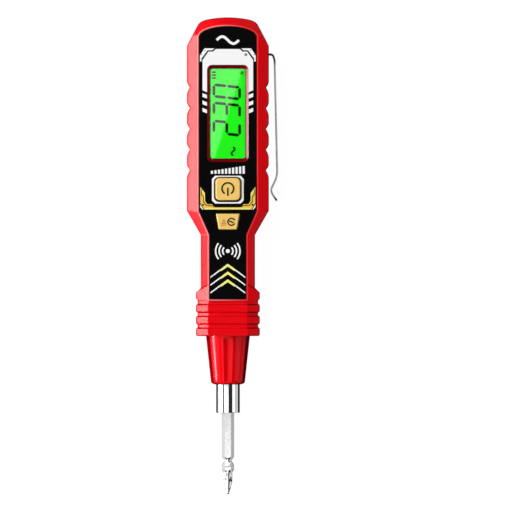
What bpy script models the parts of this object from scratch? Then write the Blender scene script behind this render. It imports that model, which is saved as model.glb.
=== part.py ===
"""Pocket voltage tester pen with a display, two keys, a side clip and a double-ended driver bit.

The pen lies on its back: +X to the clip side, +Y to the tail, +Z out of the display, bit towards -Y.
The origin is on the flat back, on the centre line, between the battery door and the neck.
Lengths are in millimetres and become metres where a mesh is made.
"""

import math

import bmesh
import bpy
from mathutils import Vector

MM = 0.001
GAP = 0.3
WALL = 1.6

# Casing outline: half-widths (x) and stations along the pen (y).
TAIL_Y = 68.6
TAIL_ARC_RADIUS = 38.7
TAIL_ARC_HALF = 8.3
TAIL_CORNER = (10.9, 66.2)
BODY_HALF = 15.15
BODY_TOP_Y = 58.1
NOTCH_COUNT = 5
NOTCH_FIRST_Y = 42.9
NOTCH_PITCH = 7.68
NOTCH_REACH = (2.3, 3.3)
NOTCH_DEPTH = 1.15
SHOULDER_Y = -2.8
NECK_HALF = 10.0
NECK_Y = -11.8
FLARE_Y = -31.5
FLARE_RIDGE_Y = (-29.9, -30.3)
RIB_HALF = 11.8
RIB_Y = -33.1
CASE_END_Y = -35.9

# Depths (z). The pen's own axis runs at AXIS_Z.
AXIS_Z = 11.0
FRONT_Z = 21.9
RECESS_Z = 21.3
CEILING_Z = 19.7
NECK_BACK_Z = 2.2
RIB_BACK_Z = 0.6
BODY_SLOPE = 0.92
NECK_SLOPE = 1.0
FLARE_SLOPE = 1.2
BACK_SLOPE = 1.05
BACK_CHAMFER = 2.85

# Face label and what shows through it.
LABEL_HALF = 10.6
LABEL_NECK_HALF = 6.75
LABEL_ARCH_Y = 61.2
LABEL_ARCH_RISE = 3.9
LABEL_SHOULDER_Y = -3.0
LABEL_NECK_Y = -11.65
LABEL_END_Y = -35.5
LABEL_Z = (21.5, 21.9)
RECESS_MARGIN = 0.2
RIM_WIDTH = 0.38
DISPLAY_Y = 33.0
DISPLAY_CUT = (15.3, 35.8)
DISPLAY_CUT_RADIUS = 1.9
WINDOW = (13.3, 33.6)
WINDOW_RADIUS = 1.1
WINDOW_Z = 20.4
POWER_Y = 5.1
POWER_SIZE = (9.2, 8.4)
POWER_RADIUS = 1.6
MODE_Y = (-9.9, -3.9)
MODE_HALF = (3.35, 4.45)
KEY_TOP_Z = 22.5
KEY_FLANGE = 0.9
KEY_EASE = 0.4

# Battery bay and its door.
CELL_RADIUS = 5.2
CELL_LENGTH = 44.5
CELL_X = 5.55
CELL_Z = 7.3
BAY_HALF = 11.0
BAY_Y = (4.3, 52.9)
BAY_TOP_Z = 12.75
BAY_WALL = 0.9
DOOR_HALF = 10.9
DOOR_Y = (3.5, 58.2)
DOOR_Z = (0.3, 1.6)
DOOR_SCREW_Y = 55.7

# Board and display stack.
BOARD_Z = (13.95, 15.15)
BACKLIGHT_Z = (15.35, 16.55)
PANEL_Z = (16.75, 18.25)
GASKET_Z = (18.45, 18.75)
LENS_FLANGE_Z = (18.95, 19.45)
LENS_TOP_Z = 20.25
BOARD_TONGUE_HALF = 6.4
BOARD_TONGUE_Y = -29.0

# Grip collar, nose, socket and bit, all turned about the pen's axis.
COLLAR_Y = (-49.2, -36.2)
GROOVE_FIRST_Y = -36.8
GROOVE_PITCH = 4.35
GROOVE_HALF = 1.05
GROOVE_FLOOR_HALF = 0.5
GROOVE_DEPTH = 0.62
LIP_INSET = 1.6
LIP_END_Y = -36.9
SPIGOT_RADIUS = 8.7
SPIGOT_BORE = 7.0
SPIGOT_Y = -43.3
NOSE_Y = (-67.2, -46.9)
NOSE_RADIUS = (6.3, 8.1)
FLUTE_COUNT = 5
FLUTE_SPAN = 28.3
FLUTE_MIDDLE = 89.35
FLUTE_DEPTH = 0.06
SOCKET_RADIUS = 4.4
SOCKET_Y = (-77.7, -35.8)
BIT_FLATS = 4.0
BIT_BORE_FLATS = 4.5
BIT_Y = (-107.9, -38.9)

# Pocket clip.
CLIP_THICKNESS = 0.7
CLIP_Z = (8.0, 14.0)
CLIP_ROOT = (14.3, 55.1)

SCREWS = {
    "shell_screw_top": (0.0, 62.6),
    "shell_screw_left": (-9.3, 0.0),
    "shell_screw_right": (9.3, 0.0),
}

BOSS_RADIUS = 2.4
SCREW_HOLE_RADIUS = 1.3
SCREW_WELL_RADIUS = 2.2
ROUND_SEGMENTS = 24


def clear_scene():
    for thing in list(bpy.data.objects):
        bpy.data.objects.remove(thing, do_unlink=True)


def material(name, colour, roughness=0.5, metallic=0.0):
    made = bpy.data.materials.new(name)
    made.use_nodes = True
    shader = made.node_tree.nodes["Principled BSDF"]
    shader.inputs["Base Color"].default_value = (*colour, 1.0)
    shader.inputs["Roughness"].default_value = roughness
    shader.inputs["Metallic"].default_value = metallic
    return made


def mesh_object(name, points, faces, look=None, smooth=False, origin=(0.0, 0.0, 0.0)):
    """A closed mesh from points in millimetres; without a look it is a hidden tool for a cut or a join."""
    base = Vector(origin)
    mesh = bpy.data.meshes.new(name)
    mesh.from_pydata([(Vector(p) - base) * MM for p in points], [], faces)
    edit = bmesh.new()
    edit.from_mesh(mesh)
    bmesh.ops.recalc_face_normals(edit, faces=edit.faces)
    edit.to_mesh(mesh)
    edit.free()
    thing = bpy.data.objects.new(name, mesh)
    thing.location = base * MM
    bpy.context.collection.objects.link(thing)
    if look is None:
        thing.hide_render = True
        thing.display_type = "WIRE"
    else:
        mesh.materials.append(look)
    if smooth:
        mesh.shade_smooth()
        mesh.set_sharp_from_angle(angle=math.radians(35))
    return thing


def boolean(target, operation, tools):
    for tool in tools:
        step = target.modifiers.new(f"{operation.lower()}_{tool.name}", "BOOLEAN")
        step.operation = operation
        step.solver = "EXACT"
        step.object = tool


def cut(target, *tools):
    boolean(target, "DIFFERENCE", tools)


def join(target, *tools):
    boolean(target, "UNION", tools)


def skin(loops, closed_ends=True):
    """Points and faces of a skin over loops that all have the same number of points."""
    count = len(loops[0])
    points = [p for loop in loops for p in loop]
    faces = []
    for k in range(len(loops) - 1):
        for i in range(count):
            j = (i + 1) % count
            faces.append((k * count + i, k * count + j, (k + 1) * count + j, (k + 1) * count + i))
    if closed_ends:
        faces.append(tuple(range(count)))
        last = (len(loops) - 1) * count
        faces.append(tuple(last + i for i in range(count)))
    return points, faces


def rounded_rectangle(width, height, radius, centre=(0.0, 0.0), steps=4):
    corners = []
    for sx, sy, start in ((1, 1, 0), (-1, 1, 90), (-1, -1, 180), (1, -1, 270)):
        cx = centre[0] + sx * (width / 2 - radius)
        cy = centre[1] + sy * (height / 2 - radius)
        for k in range(steps + 1):
            angle = math.radians(start + 90 * k / steps)
            corners.append((cx + radius * math.cos(angle), cy + radius * math.sin(angle)))
    return corners


def offset_outline(outline, distance):
    """The outline moved outwards by distance, for a loop that runs anticlockwise."""
    moved = []
    count = len(outline)
    for i in range(count):
        before = Vector(outline[i]) - Vector(outline[i - 1])
        after = Vector(outline[(i + 1) % count]) - Vector(outline[i])
        n1 = Vector((before.y, -before.x)).normalized()
        n2 = Vector((after.y, -after.x)).normalized()
        mitre = (n1 + n2) / (1.0 + n1.dot(n2))
        moved.append(tuple(Vector(outline[i]) + mitre * distance))
    return moved


def prism(name, outline, z_low, z_high, look=None, **options):
    loops = [[(x, y, z) for x, y in outline] for z in (z_low, z_high)]
    return mesh_object(name, *skin(loops), look, **options)


def stepped_prism(name, levels, look=None, **options):
    """A solid over outlines with equal point counts, given as (outline, z) from low to high."""
    loops = [[(x, y, z) for x, y in outline] for outline, z in levels]
    return mesh_object(name, *skin(loops), look, **options)


def box(name, xs, ys, zs, look=None, **options):
    outline = [(xs[0], ys[0]), (xs[1], ys[0]), (xs[1], ys[1]), (xs[0], ys[1])]
    return prism(name, outline, zs[0], zs[1], look, **options)


def post(name, centre, radius, z_low, z_high, look=None, segments=ROUND_SEGMENTS, **options):
    turn = [2 * math.pi * k / segments for k in range(segments)]
    outline = [(centre[0] + radius * math.cos(a), centre[1] + radius * math.sin(a)) for a in turn]
    return prism(name, outline, z_low, z_high, look, **options)


def turned(name, profile, look=None, centre=(0.0, AXIS_Z), segments=ROUND_SEGMENTS, phase=0.5, **options):
    """A solid turned about a line along y; the profile lists (radius, y) along its outer side.

    A radius may be a number or a function of the angle.
    """
    loops = []
    for radius, y in profile:
        loop = []
        for k in range(segments):
            angle = 2 * math.pi * (k + phase) / segments
            r = radius(angle) if callable(radius) else radius
            loop.append((centre[0] + r * math.cos(angle), y, centre[1] + r * math.sin(angle)))
        loops.append(loop)
    return mesh_object(name, *skin(loops), look, smooth=True, **options)


def coil(name, radius_at, y_at, turns, wire, centre, look, per_turn=10, sides=5):
    """A wire wound about a line along y; radius_at and y_at map 0..1 along the wire."""
    steps = int(turns * per_turn)
    loops = []
    for k in range(steps + 1):
        t = k / steps
        angle = 2 * math.pi * turns * t
        out = Vector((math.cos(angle), 0.0, math.sin(angle)))
        middle = Vector((centre[0], y_at(t), centre[1])) + out * radius_at(t)
        loop = []
        for s in range(sides):
            around = 2 * math.pi * s / sides
            along = Vector((0.0, wire * math.sin(around), 0.0))
            loop.append(tuple(middle + out * wire * math.cos(around) + along))
        loops.append(loop)
    return mesh_object(name, *skin(loops), look, smooth=True)


# Casing outline ------------------------------------------------------------------------------------


def evenly(points, count):
    """count + 1 points evenly spaced along a polyline."""
    lengths = [0.0]
    for a, b in zip(points, points[1:]):
        lengths.append(lengths[-1] + math.dist(a, b))
    spaced = []
    for k in range(count + 1):
        target = lengths[-1] * k / count
        i = 1
        while i < len(points) - 1 and lengths[i] < target:
            i += 1
        t = (target - lengths[i - 1]) / (lengths[i] - lengths[i - 1])
        a, b = Vector(points[i - 1]), Vector(points[i])
        spaced.append(tuple(a.lerp(b, t)))
    return spaced


def tail_edge(y_end):
    """The outline's tail from the centre line round to the straight corner, down to y_end."""
    edge = []
    for k in range(7):
        x = TAIL_ARC_HALF * k / 6
        edge.append((x, TAIL_Y - TAIL_ARC_RADIUS + math.sqrt(TAIL_ARC_RADIUS**2 - x**2)))
    start, corner = Vector(edge[-1]), Vector(TAIL_CORNER)
    elbow = Vector((10.0, 67.2))
    for t in (0.33, 0.66):
        edge.append(tuple(start * (1 - t) ** 2 + elbow * 2 * t * (1 - t) + corner * t**2))
    edge.append(TAIL_CORNER)
    slope = (BODY_HALF - TAIL_CORNER[0]) / (TAIL_CORNER[1] - BODY_TOP_Y)
    edge.append((TAIL_CORNER[0] + slope * (TAIL_CORNER[1] - y_end), y_end))
    return edge


def arch(half, rise, count=24):
    quarter = [math.pi / 2 * (1 - k / count) for k in range(count + 1)]
    return [(half * math.cos(a), LABEL_ARCH_Y + rise * math.sin(a)) for a in quarter]


def case_stations(notched, tail_steps=8):
    """Matched right-hand stations from the tail's centre line to the case end.

    Each is (outer, label_edge, slope): the outline's point, the label edge's point and the fall of the
    facet between them.
    """
    outer = evenly(tail_edge(LABEL_ARCH_Y), tail_steps)
    label = evenly(arch(LABEL_HALF, LABEL_ARCH_RISE), tail_steps)
    stations = [(o, e, BODY_SLOPE) for o, e in zip(outer, label)]
    stations.append(((BODY_HALF, BODY_TOP_Y), (LABEL_HALF, BODY_TOP_Y), BODY_SLOPE))
    if notched:
        for n in range(NOTCH_COUNT):
            for u in (1.0, 0.45, 0.0, -0.45, -1.0):
                y = NOTCH_FIRST_Y - n * NOTCH_PITCH + u * NOTCH_REACH[0 if u > 0 else 1]
                x = BODY_HALF - NOTCH_DEPTH * (1.0 - math.sin(math.pi / 2 * abs(u)))
                stations.append(((x, y), (LABEL_HALF, y), BODY_SLOPE))
    else:
        narrow = BODY_HALF - NOTCH_DEPTH
        for x, y in ((BODY_HALF, 50.5), (narrow, 49.5), (narrow, 8.5), (BODY_HALF, 7.5)):
            stations.append(((x, y), (LABEL_HALF, y), BODY_SLOPE))
    stations.append(((BODY_HALF, SHOULDER_Y), (LABEL_HALF, LABEL_SHOULDER_Y), BODY_SLOPE))
    stations.append(((NECK_HALF, NECK_Y), (LABEL_NECK_HALF, LABEL_NECK_Y), NECK_SLOPE))
    stations.append(((NECK_HALF, FLARE_Y), (LABEL_NECK_HALF, FLARE_RIDGE_Y[0]), FLARE_SLOPE))
    stations.append(((RIB_HALF, RIB_Y), (LABEL_NECK_HALF, FLARE_RIDGE_Y[1]), BODY_SLOPE))
    if notched:
        stations.append(((RIB_HALF, CASE_END_Y + 0.5), (LABEL_NECK_HALF, LABEL_END_Y + 0.5), BODY_SLOPE))
        stations.append(((RIB_HALF - 0.45, CASE_END_Y), (LABEL_NECK_HALF, LABEL_END_Y), BODY_SLOPE))
    else:
        stations.append(((RIB_HALF, CASE_END_Y), (LABEL_NECK_HALF, LABEL_END_Y), BODY_SLOPE))
    return stations


def mirrored(half):
    """A full anticlockwise loop from the right-hand points that run tail to nose."""
    left = [(-x, y) for x, y in half[1:]]
    return [half[0]] + left + list(reversed(half[1:]))


def moved_half(half, distance):
    """Right-hand points moved outwards, with the same count and order."""
    full = offset_outline(mirrored(half), distance)
    right = [full[0]] + list(reversed(full[len(half):]))
    right[0] = (0.0, right[0][1])
    return right


def case_solid(name, rings, look=None, **options):
    """A solid over rings of right-hand (x, y, z) points, mirrored, with strips across both ends."""
    count = len(rings[0])
    loops = []
    for ring in rings:
        left = [(-x, y, z) for x, y, z in ring[1:]]
        loops.append([ring[0]] + left + list(reversed(ring[1:])))
    points, faces = skin(loops, closed_ends=False)
    size = 2 * count - 1
    for base in (0, (len(rings) - 1) * size):
        def index(i, side, base=base):
            return base + (i if side == "left" or i == 0 else size - i)
        faces.append((index(0, "left"), index(1, "left"), index(1, "right")))
        for i in range(1, count - 1):
            faces.append((index(i, "right"), index(i, "left"), index(i + 1, "left"), index(i + 1, "right")))
    return mesh_object(name, points, faces, look, **options)


def back_height(y):
    """Height of the pen's back above its resting plane."""
    if y >= SHOULDER_Y:
        return 0.0
    if y >= NECK_Y:
        return NECK_BACK_Z * (SHOULDER_Y - y) / (SHOULDER_Y - NECK_Y)
    if y >= FLARE_Y:
        return NECK_BACK_Z
    if y >= RIB_Y:
        return NECK_BACK_Z + (RIB_BACK_Z - NECK_BACK_Z) * (FLARE_Y - y) / (FLARE_Y - RIB_Y)
    return RIB_BACK_Z


def front_case_rings():
    stations = case_stations(notched=True)
    outer = [s[0] for s in stations]
    label = [s[1] for s in stations]
    recess = moved_half(label, RECESS_MARGIN)
    rim = moved_half(label, RECESS_MARGIN + RIM_WIDTH)
    shoulder = []
    for (x, y), (rx, ry), station in zip(outer, rim, stations):
        reach = math.dist((x, y), (rx, ry)) if y > LABEL_ARCH_Y else x - rx
        shoulder.append((x, y, FRONT_Z - station[2] * reach))
    return [
        [(x, y, AXIS_Z + GAP / 2) for x, y in outer],
        shoulder,
        [(x, y, FRONT_Z) for x, y in rim],
        [(x, y, FRONT_Z) for x, y in recess],
        [(x, y, RECESS_Z) for x, y in recess],
    ]


def front_cavity_rings():
    stations = case_stations(notched=False)
    outer = moved_half([s[0] for s in stations], -WALL)
    ceiling = [(x, max(y, CASE_END_Y + WALL)) for x, y in moved_half([s[1] for s in stations], 0.1)]
    bend = []
    for (x, y), (cx, cy), station in zip(outer, ceiling, stations):
        reach = math.dist((x, y), (cx, cy)) if y > LABEL_ARCH_Y else x - cx
        bend.append((x, y, CEILING_Z - station[2] * reach))
    return [
        [(x, y, AXIS_Z - 1.0) for x, y in outer],
        bend,
        [(x, y, CEILING_Z) for x, y in ceiling],
    ]


def back_case_rings():
    plain = [s[0] for s in case_stations(notched=True)]
    steady = []
    first = NOTCH_FIRST_Y + NOTCH_REACH[0] + 0.1
    last = NOTCH_FIRST_Y - (NOTCH_COUNT - 1) * NOTCH_PITCH - NOTCH_REACH[1] - 0.1
    for x, y in plain:
        on_notches = first > y > last
        steady.append((BODY_HALF, y) if on_notches else (x, y))
    flat = moved_half(steady, -BACK_CHAMFER)
    flat[-1] = (flat[-1][0], CASE_END_Y + 0.6)
    edge = []
    for (x, y), (fx, fy) in zip(plain, flat):
        reach = math.dist((x, y), (fx, fy)) if y > BODY_TOP_Y else x - fx
        edge.append((x, y, back_height(fy) + BACK_SLOPE * max(reach, 0.3)))
    return [
        [(x, y, back_height(y)) for x, y in flat],
        edge,
        [(x, y, AXIS_Z - GAP / 2) for x, y in plain],
    ]


def back_cavity_rings():
    outer = moved_half([s[0] for s in case_stations(notched=False)], -WALL)
    flat = moved_half(outer, -BACK_CHAMFER + 0.3)
    bend = []
    for (x, y), (fx, fy) in zip(outer, flat):
        bend.append((x, y, back_height(fy) + WALL + BACK_SLOPE * 2.55))
    return [
        [(x, y, back_height(y) + WALL) for x, y in flat],
        bend,
        [(x, y, AXIS_Z + 1.0) for x, y in outer],
    ]


def half_round(name, radius, ys, up, look=None):
    """Half of a turned bar along the pen's axis, on the front (up=1) or back (up=-1) of the split."""
    outline = []
    for k in range(13):
        angle = math.pi * k / 12
        outline.append((radius * math.cos(angle), AXIS_Z + up * (GAP / 2 + radius * math.sin(angle))))
    loops = [[(x, y, z) for x, z in outline] for y in ys]
    return mesh_object(name, *skin(loops), look)


def collar_section(inset):
    """The chamfered section across the ribs, as (x, z), pulled in by inset."""
    half = RIB_HALF
    front, back = 7.3, 7.6
    rise = (half - front) * BODY_SLOPE
    fall = (half - back) * 1.0
    outline = [
        (half, FRONT_Z - rise), (front, FRONT_Z), (-front, FRONT_Z), (-half, FRONT_Z - rise),
        (-half, RIB_BACK_Z + fall), (-back, RIB_BACK_Z), (back, RIB_BACK_Z), (half, RIB_BACK_Z + fall),
    ]
    return offset_outline(outline, -inset)


def half_lip(name, up):
    """Half of the case's end lip, which stands in the collar's recess and closes the seam between them."""
    section = collar_section(LIP_INSET)
    split = AXIS_Z + up * GAP / 2
    kept = section[:4] if up > 0 else section[4:]
    outline = kept + [(kept[-1][0], split), (kept[0][0], split)]
    return mesh_object(name, *skin([[(x, y, z) for x, z in outline] for y in (LIP_END_Y, CASE_END_Y + 1.0)]))


def clip_slot(name):
    root, (low, high) = CLIP_ROOT[1], CLIP_Z
    return box(name, (12.9, 17.0), (root - 0.8, root + 0.8), (low - 0.4, high + 0.4))


def mode_outline(margin=0.0):
    low, high = MODE_Y
    outline = [(MODE_HALF[0], low), (MODE_HALF[1], high), (-MODE_HALF[1], high), (-MODE_HALF[0], low)]
    return offset_outline(outline, margin)


def power_outline(margin=0.0):
    width, height = POWER_SIZE
    return rounded_rectangle(width + 2 * margin, height + 2 * margin, POWER_RADIUS + margin, (0.0, POWER_Y))


def make_front_shell(look):
    shell = case_solid("front_shell", front_case_rings(), look)
    cut(shell, case_solid("front_cavity", front_cavity_rings()))
    join(shell, half_round("front_spigot", SPIGOT_RADIUS, (SPIGOT_Y, CASE_END_Y + 1.0), 1))
    join(shell, half_lip("front_lip", 1))
    cut(shell, turned("front_bore", [(SPIGOT_BORE, -45.0), (SPIGOT_BORE, -33.0)]))
    split = AXIS_Z + GAP / 2
    for name, centre in SCREWS.items():
        join(shell, post(f"front_boss_{name}", centre, BOSS_RADIUS, split, CEILING_Z + 0.5, segments=16))
        cut(shell, post(f"front_pilot_{name}", centre, SCREW_HOLE_RADIUS, split - 1.0, 16.5, segments=12))
    for k, spot in enumerate(((-10.2, 10.5), (10.2, 10.5), (-10.2, 54.5), (10.2, 54.5))):
        join(shell, post(f"board_post_{k}", spot, 1.0, BOARD_Z[1] + GAP, CEILING_Z + 0.5, segments=8))
    outer = rounded_rectangle(*DISPLAY_CUT, DISPLAY_CUT_RADIUS, (0.0, DISPLAY_Y))
    inner = rounded_rectangle(*WINDOW, WINDOW_RADIUS, (0.0, DISPLAY_Y))
    levels = [(inner, CEILING_Z - 1.0), (inner, WINDOW_Z), (outer, RECESS_Z), (outer, FRONT_Z + 1.0)]
    cut(shell, stepped_prism("display_cut", levels))
    cut(shell, prism("power_cut", power_outline(GAP), CEILING_Z - 1.0, FRONT_Z + 1.0))
    cut(shell, prism("mode_cut", mode_outline(GAP), CEILING_Z - 1.0, FRONT_Z + 1.0))
    cut(shell, clip_slot("front_clip_slot"))
    return shell


def make_rear_shell(look):
    shell = case_solid("rear_shell", back_case_rings(), look)
    cut(shell, case_solid("back_cavity", back_cavity_rings()))
    join(shell, half_round("back_spigot", SPIGOT_RADIUS, (SPIGOT_Y, CASE_END_Y + 1.0), -1))
    join(shell, half_lip("back_lip", -1))
    cut(shell, turned("back_bore", [(SPIGOT_BORE, -45.0), (SPIGOT_BORE, -33.0)]))
    sides = (-BAY_HALF - BAY_WALL, BAY_HALF + BAY_WALL)
    join(shell, box("bay_walls", sides, (2.9, BAY_Y[1] + BAY_WALL), (1.0, BAY_TOP_Z + BAY_WALL)))
    join(shell, box("door_ledge", sides, (BAY_Y[1], 59.6), (1.0, 3.5)))
    join(shell, post("door_boss", (0.0, DOOR_SCREW_Y), BOSS_RADIUS, 3.0, 8.0, segments=16))
    for name, centre in SCREWS.items():
        join(shell, post(f"back_boss_{name}", centre, BOSS_RADIUS, 1.0, AXIS_Z - GAP / 2, segments=16))
    cut(shell, box("bay_room", (-BAY_HALF, BAY_HALF), BAY_Y, (-1.0, BAY_TOP_Z)))
    door_half = DOOR_HALF + GAP
    cut(shell, box("door_recess", (-door_half, door_half), (DOOR_Y[0] - GAP, DOOR_Y[1] + GAP), (-1.0, 1.9)))
    cut(shell, post("door_pilot", (0.0, DOOR_SCREW_Y), SCREW_HOLE_RADIUS, 1.0, 7.0, segments=12))
    for name, centre in SCREWS.items():
        cut(shell, post(f"back_head_{name}", centre, SCREW_WELL_RADIUS, -1.0, 1.9, segments=16))
        cut(shell, post(f"back_hole_{name}", centre, SCREW_HOLE_RADIUS, 1.0, AXIS_Z + 1.0, segments=12))
    cut(shell, clip_slot("back_clip_slot"))
    return shell


# Grip collar and nose ------------------------------------------------------------------------------


def collar_profile():
    """(y, inset) from the nose end to the case end, with one flat-floored groove per pitch."""
    profile = [(COLLAR_Y[0], 0.45), (COLLAR_Y[0] + 0.4, 0.0)]
    for n in (2, 1, 0):
        middle = GROOVE_FIRST_Y - n * GROOVE_PITCH
        profile += [(middle - GROOVE_HALF, 0.0), (middle - GROOVE_FLOOR_HALF, GROOVE_DEPTH)]
        profile += [(middle + GROOVE_FLOOR_HALF, GROOVE_DEPTH), (middle + GROOVE_HALF, 0.0)]
    rising = (profile[-1][0] - COLLAR_Y[1]) / (GROOVE_HALF - GROOVE_FLOOR_HALF)
    profile[-1] = (COLLAR_Y[1], GROOVE_DEPTH * rising)
    return profile


def make_grip_collar(look):
    loops = [[(x, y, z) for x, z in collar_section(inset)] for y, inset in collar_profile()]
    collar = mesh_object("grip_collar", *skin(loops), look)
    bore = SPIGOT_RADIUS + GAP
    cut(collar, turned("collar_bore", [(bore, -47.2), (bore, -35.0)]))
    cut(collar, turned("collar_mouth", [(NOSE_RADIUS[1] + GAP, -50.0), (NOSE_RADIUS[1] + GAP, -46.0)]))
    recess = [[(x, y, z) for x, z in collar_section(LIP_INSET - GAP)] for y in (LIP_END_Y - GAP, -35.0)]
    cut(collar, mesh_object("collar_recess", *skin(recess)))
    return collar


def fluted(land):
    """The radius by angle of a section whose round lands have a shallow channel between each two."""
    pitch = 360.0 / FLUTE_COUNT

    def radius_at(angle):
        offset = (math.degrees(angle) - FLUTE_MIDDLE + pitch / 2) % pitch - pitch / 2
        hollow = math.cos(math.pi * offset / FLUTE_SPAN) if abs(offset) < FLUTE_SPAN / 2 else 0.0
        return land * (1.0 - FLUTE_DEPTH * hollow)
    return radius_at


def make_nose_cone(look):
    low, high = NOSE_Y
    profile = [
        (SOCKET_RADIUS + 0.35, low), (fluted(NOSE_RADIUS[0]), low + 0.75), (fluted(NOSE_RADIUS[1]), -49.6),
        (NOSE_RADIUS[1], -48.8), (NOSE_RADIUS[1], high + 0.05), (SPIGOT_RADIUS, high + 0.06),
        (SPIGOT_RADIUS, SPIGOT_Y - GAP),
    ]
    nose = turned("nose_cone", profile, look, segments=60)
    cut(nose, turned("nose_bore", [(SOCKET_RADIUS + 0.2, -70.0), (SOCKET_RADIUS + 0.2, -40.0)]))
    return nose


def hexagon(flats, y, points=24):
    """A loop of a hexagon across the pen's axis with a flat towards +Z."""
    loop = []
    for k in range(points):
        angle = 2 * math.pi * k / points
        radius = flats / 2 / math.cos(angle % (math.pi / 3) - math.pi / 6)
        loop.append((radius * math.cos(angle), y, AXIS_Z + radius * math.sin(angle)))
    return loop


def make_bit_socket(look):
    low, high = SOCKET_Y
    flange = SPIGOT_Y
    profile = [
        (SOCKET_RADIUS - 0.25, low), (SOCKET_RADIUS, low + 0.25), (SOCKET_RADIUS, flange + GAP / 2),
        (6.3, flange + GAP / 2 + 0.01), (6.3, flange + 1.6), (SOCKET_RADIUS, flange + 1.61),
        (SOCKET_RADIUS, high),
    ]
    socket = turned("bit_socket", profile, look, segments=32)
    loops = [hexagon(BIT_BORE_FLATS, low - 1.0), hexagon(BIT_BORE_FLATS, -38.0)]
    cut(socket, mesh_object("hex_bore", *skin(loops)))
    cut(socket, turned("magnet_pocket", [(3.1, -38.4), (3.1, high + 1.0)]))
    return socket


def make_magnet(look):
    return turned("socket_magnet", [(2.8, -38.1), (2.8, -36.1)], look, segments=16)


# Driver bit ----------------------------------------------------------------------------------------


def bit_loop(y, radius_at):
    loop = []
    for k in range(24):
        angle = 2 * math.pi * k / 24
        radius = radius_at(angle)
        loop.append((radius * math.cos(angle), y, AXIS_Z + radius * math.sin(angle)))
    return loop


def hex_radius(flats):
    return lambda a: flats / 2 / math.cos(a % (math.pi / 3) - math.pi / 6)


def cross_radius(radius, web):
    """A cross of two bars, one upright, each of half-thickness web and half-length radius."""
    def radius_at(a):
        upright = web / max(abs(math.cos(a)), 1e-6)
        level = web / max(abs(math.sin(a)), 1e-6)
        return min(radius, max(upright, level))
    return radius_at


def blade_radius(width, thickness):
    def radius_at(a):
        across = width / 2 / max(abs(math.cos(a)), 1e-6)
        through = thickness / 2 / max(abs(math.sin(a)), 1e-6)
        return min(across, through)
    return radius_at


def round_radius(radius):
    return lambda a: radius


def make_bit(look):
    """Cross tip outside, hexagonal shaft with a snap waist near each end, flat blade inside the socket."""
    tip, end = BIT_Y
    hexagonal, waist, shank = hex_radius(BIT_FLATS), round_radius(1.38), round_radius(1.62)
    sections = [
        (tip, cross_radius(0.25, 0.2)), (tip + 0.5, cross_radius(0.5, 0.26)),
        (tip + 2.5, cross_radius(1.05, 0.36)), (tip + 4.9, cross_radius(1.62, 0.55)),
        (tip + 6.5, cross_radius(1.64, 0.95)), (tip + 7.7, shank), (tip + 8.15, shank),
        (tip + 9.1, hexagonal), (tip + 10.8, hexagonal), (tip + 12.3, waist), (tip + 12.7, waist),
        (tip + 13.9, hexagonal), (end - 13.9, hexagonal), (end - 12.7, waist), (end - 12.3, waist),
        (end - 10.8, hexagonal), (end - 9.1, hexagonal), (end - 8.0, shank),
        (end - 5.6, blade_radius(4.0, 1.7)), (end - 2.2, blade_radius(4.0, 1.0)), (end, blade_radius(4.0, 0.8)),
    ]
    loops = [bit_loop(y, radius_at) for y, radius_at in sections]
    return mesh_object("screwdriver_bit", *skin(loops), look, origin=(0.0, SOCKET_Y[0], AXIS_Z))


# Pocket clip ---------------------------------------------------------------------------------------


def rounded_path(corners, radii, steps=4):
    """A path through corners, each turned on a curve that starts radius away from it."""
    path = [corners[0]]
    for i in range(1, len(corners) - 1):
        corner = Vector(corners[i])
        back = (Vector(corners[i - 1]) - corner).normalized() * radii[i - 1]
        ahead = (Vector(corners[i + 1]) - corner).normalized() * radii[i - 1]
        for k in range(steps + 1):
            t = k / steps
            path.append(tuple(corner + back * (1 - t) ** 2 + ahead * t**2))
    path.append(corners[-1])
    return path


def ribbon(path, thickness):
    """The outline of a strip of even thickness along an open path."""
    sides = []
    for sign in (1.0, -1.0):
        side = []
        for i, point in enumerate(path):
            here = Vector(point)
            before = (here - Vector(path[i - 1])).normalized() if i else None
            after = (Vector(path[i + 1]) - here).normalized() if i < len(path) - 1 else None
            n1 = Vector((before.y, -before.x)) if before else Vector((after.y, -after.x))
            n2 = Vector((after.y, -after.x)) if after else n1
            side.append(tuple(here + (n1 + n2) / (1.0 + n1.dot(n2)) * sign * thickness / 2))
        sides.append(side)
    return sides[0] + list(reversed(sides[1]))


def make_pocket_clip(look):
    """A spring steel strip: a tab inside the case, out through the side wall, down and back to a pinch."""
    corners = [
        (12.75, 51.6), (12.75, CLIP_ROOT[1]), (16.6, CLIP_ROOT[1]), (17.3, 53.0),
        (18.3, 10.0), (15.72, 4.55), (18.1, 0.9),
    ]
    path = rounded_path(corners, (0.9, 0.9, 0.9, 2.2, 1.6))
    return prism("pocket_clip", ribbon(path, CLIP_THICKNESS), *CLIP_Z, look, origin=(*CLIP_ROOT, AXIS_Z))


# Label, lens and keys ------------------------------------------------------------------------------


def make_face_label(look):
    half = [s[1] for s in case_stations(notched=False)]
    rings = [[(x, y, z) for x, y in half] for z in LABEL_Z]
    label = case_solid("face_label", rings, look)
    display = rounded_rectangle(*DISPLAY_CUT, DISPLAY_CUT_RADIUS, (0.0, DISPLAY_Y))
    cut(label, prism("label_display_cut", display, 20.0, 23.0))
    cut(label, prism("label_power_cut", power_outline(GAP), 20.0, 23.0))
    cut(label, prism("label_mode_cut", mode_outline(GAP), 20.0, 23.0))
    return label


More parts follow.
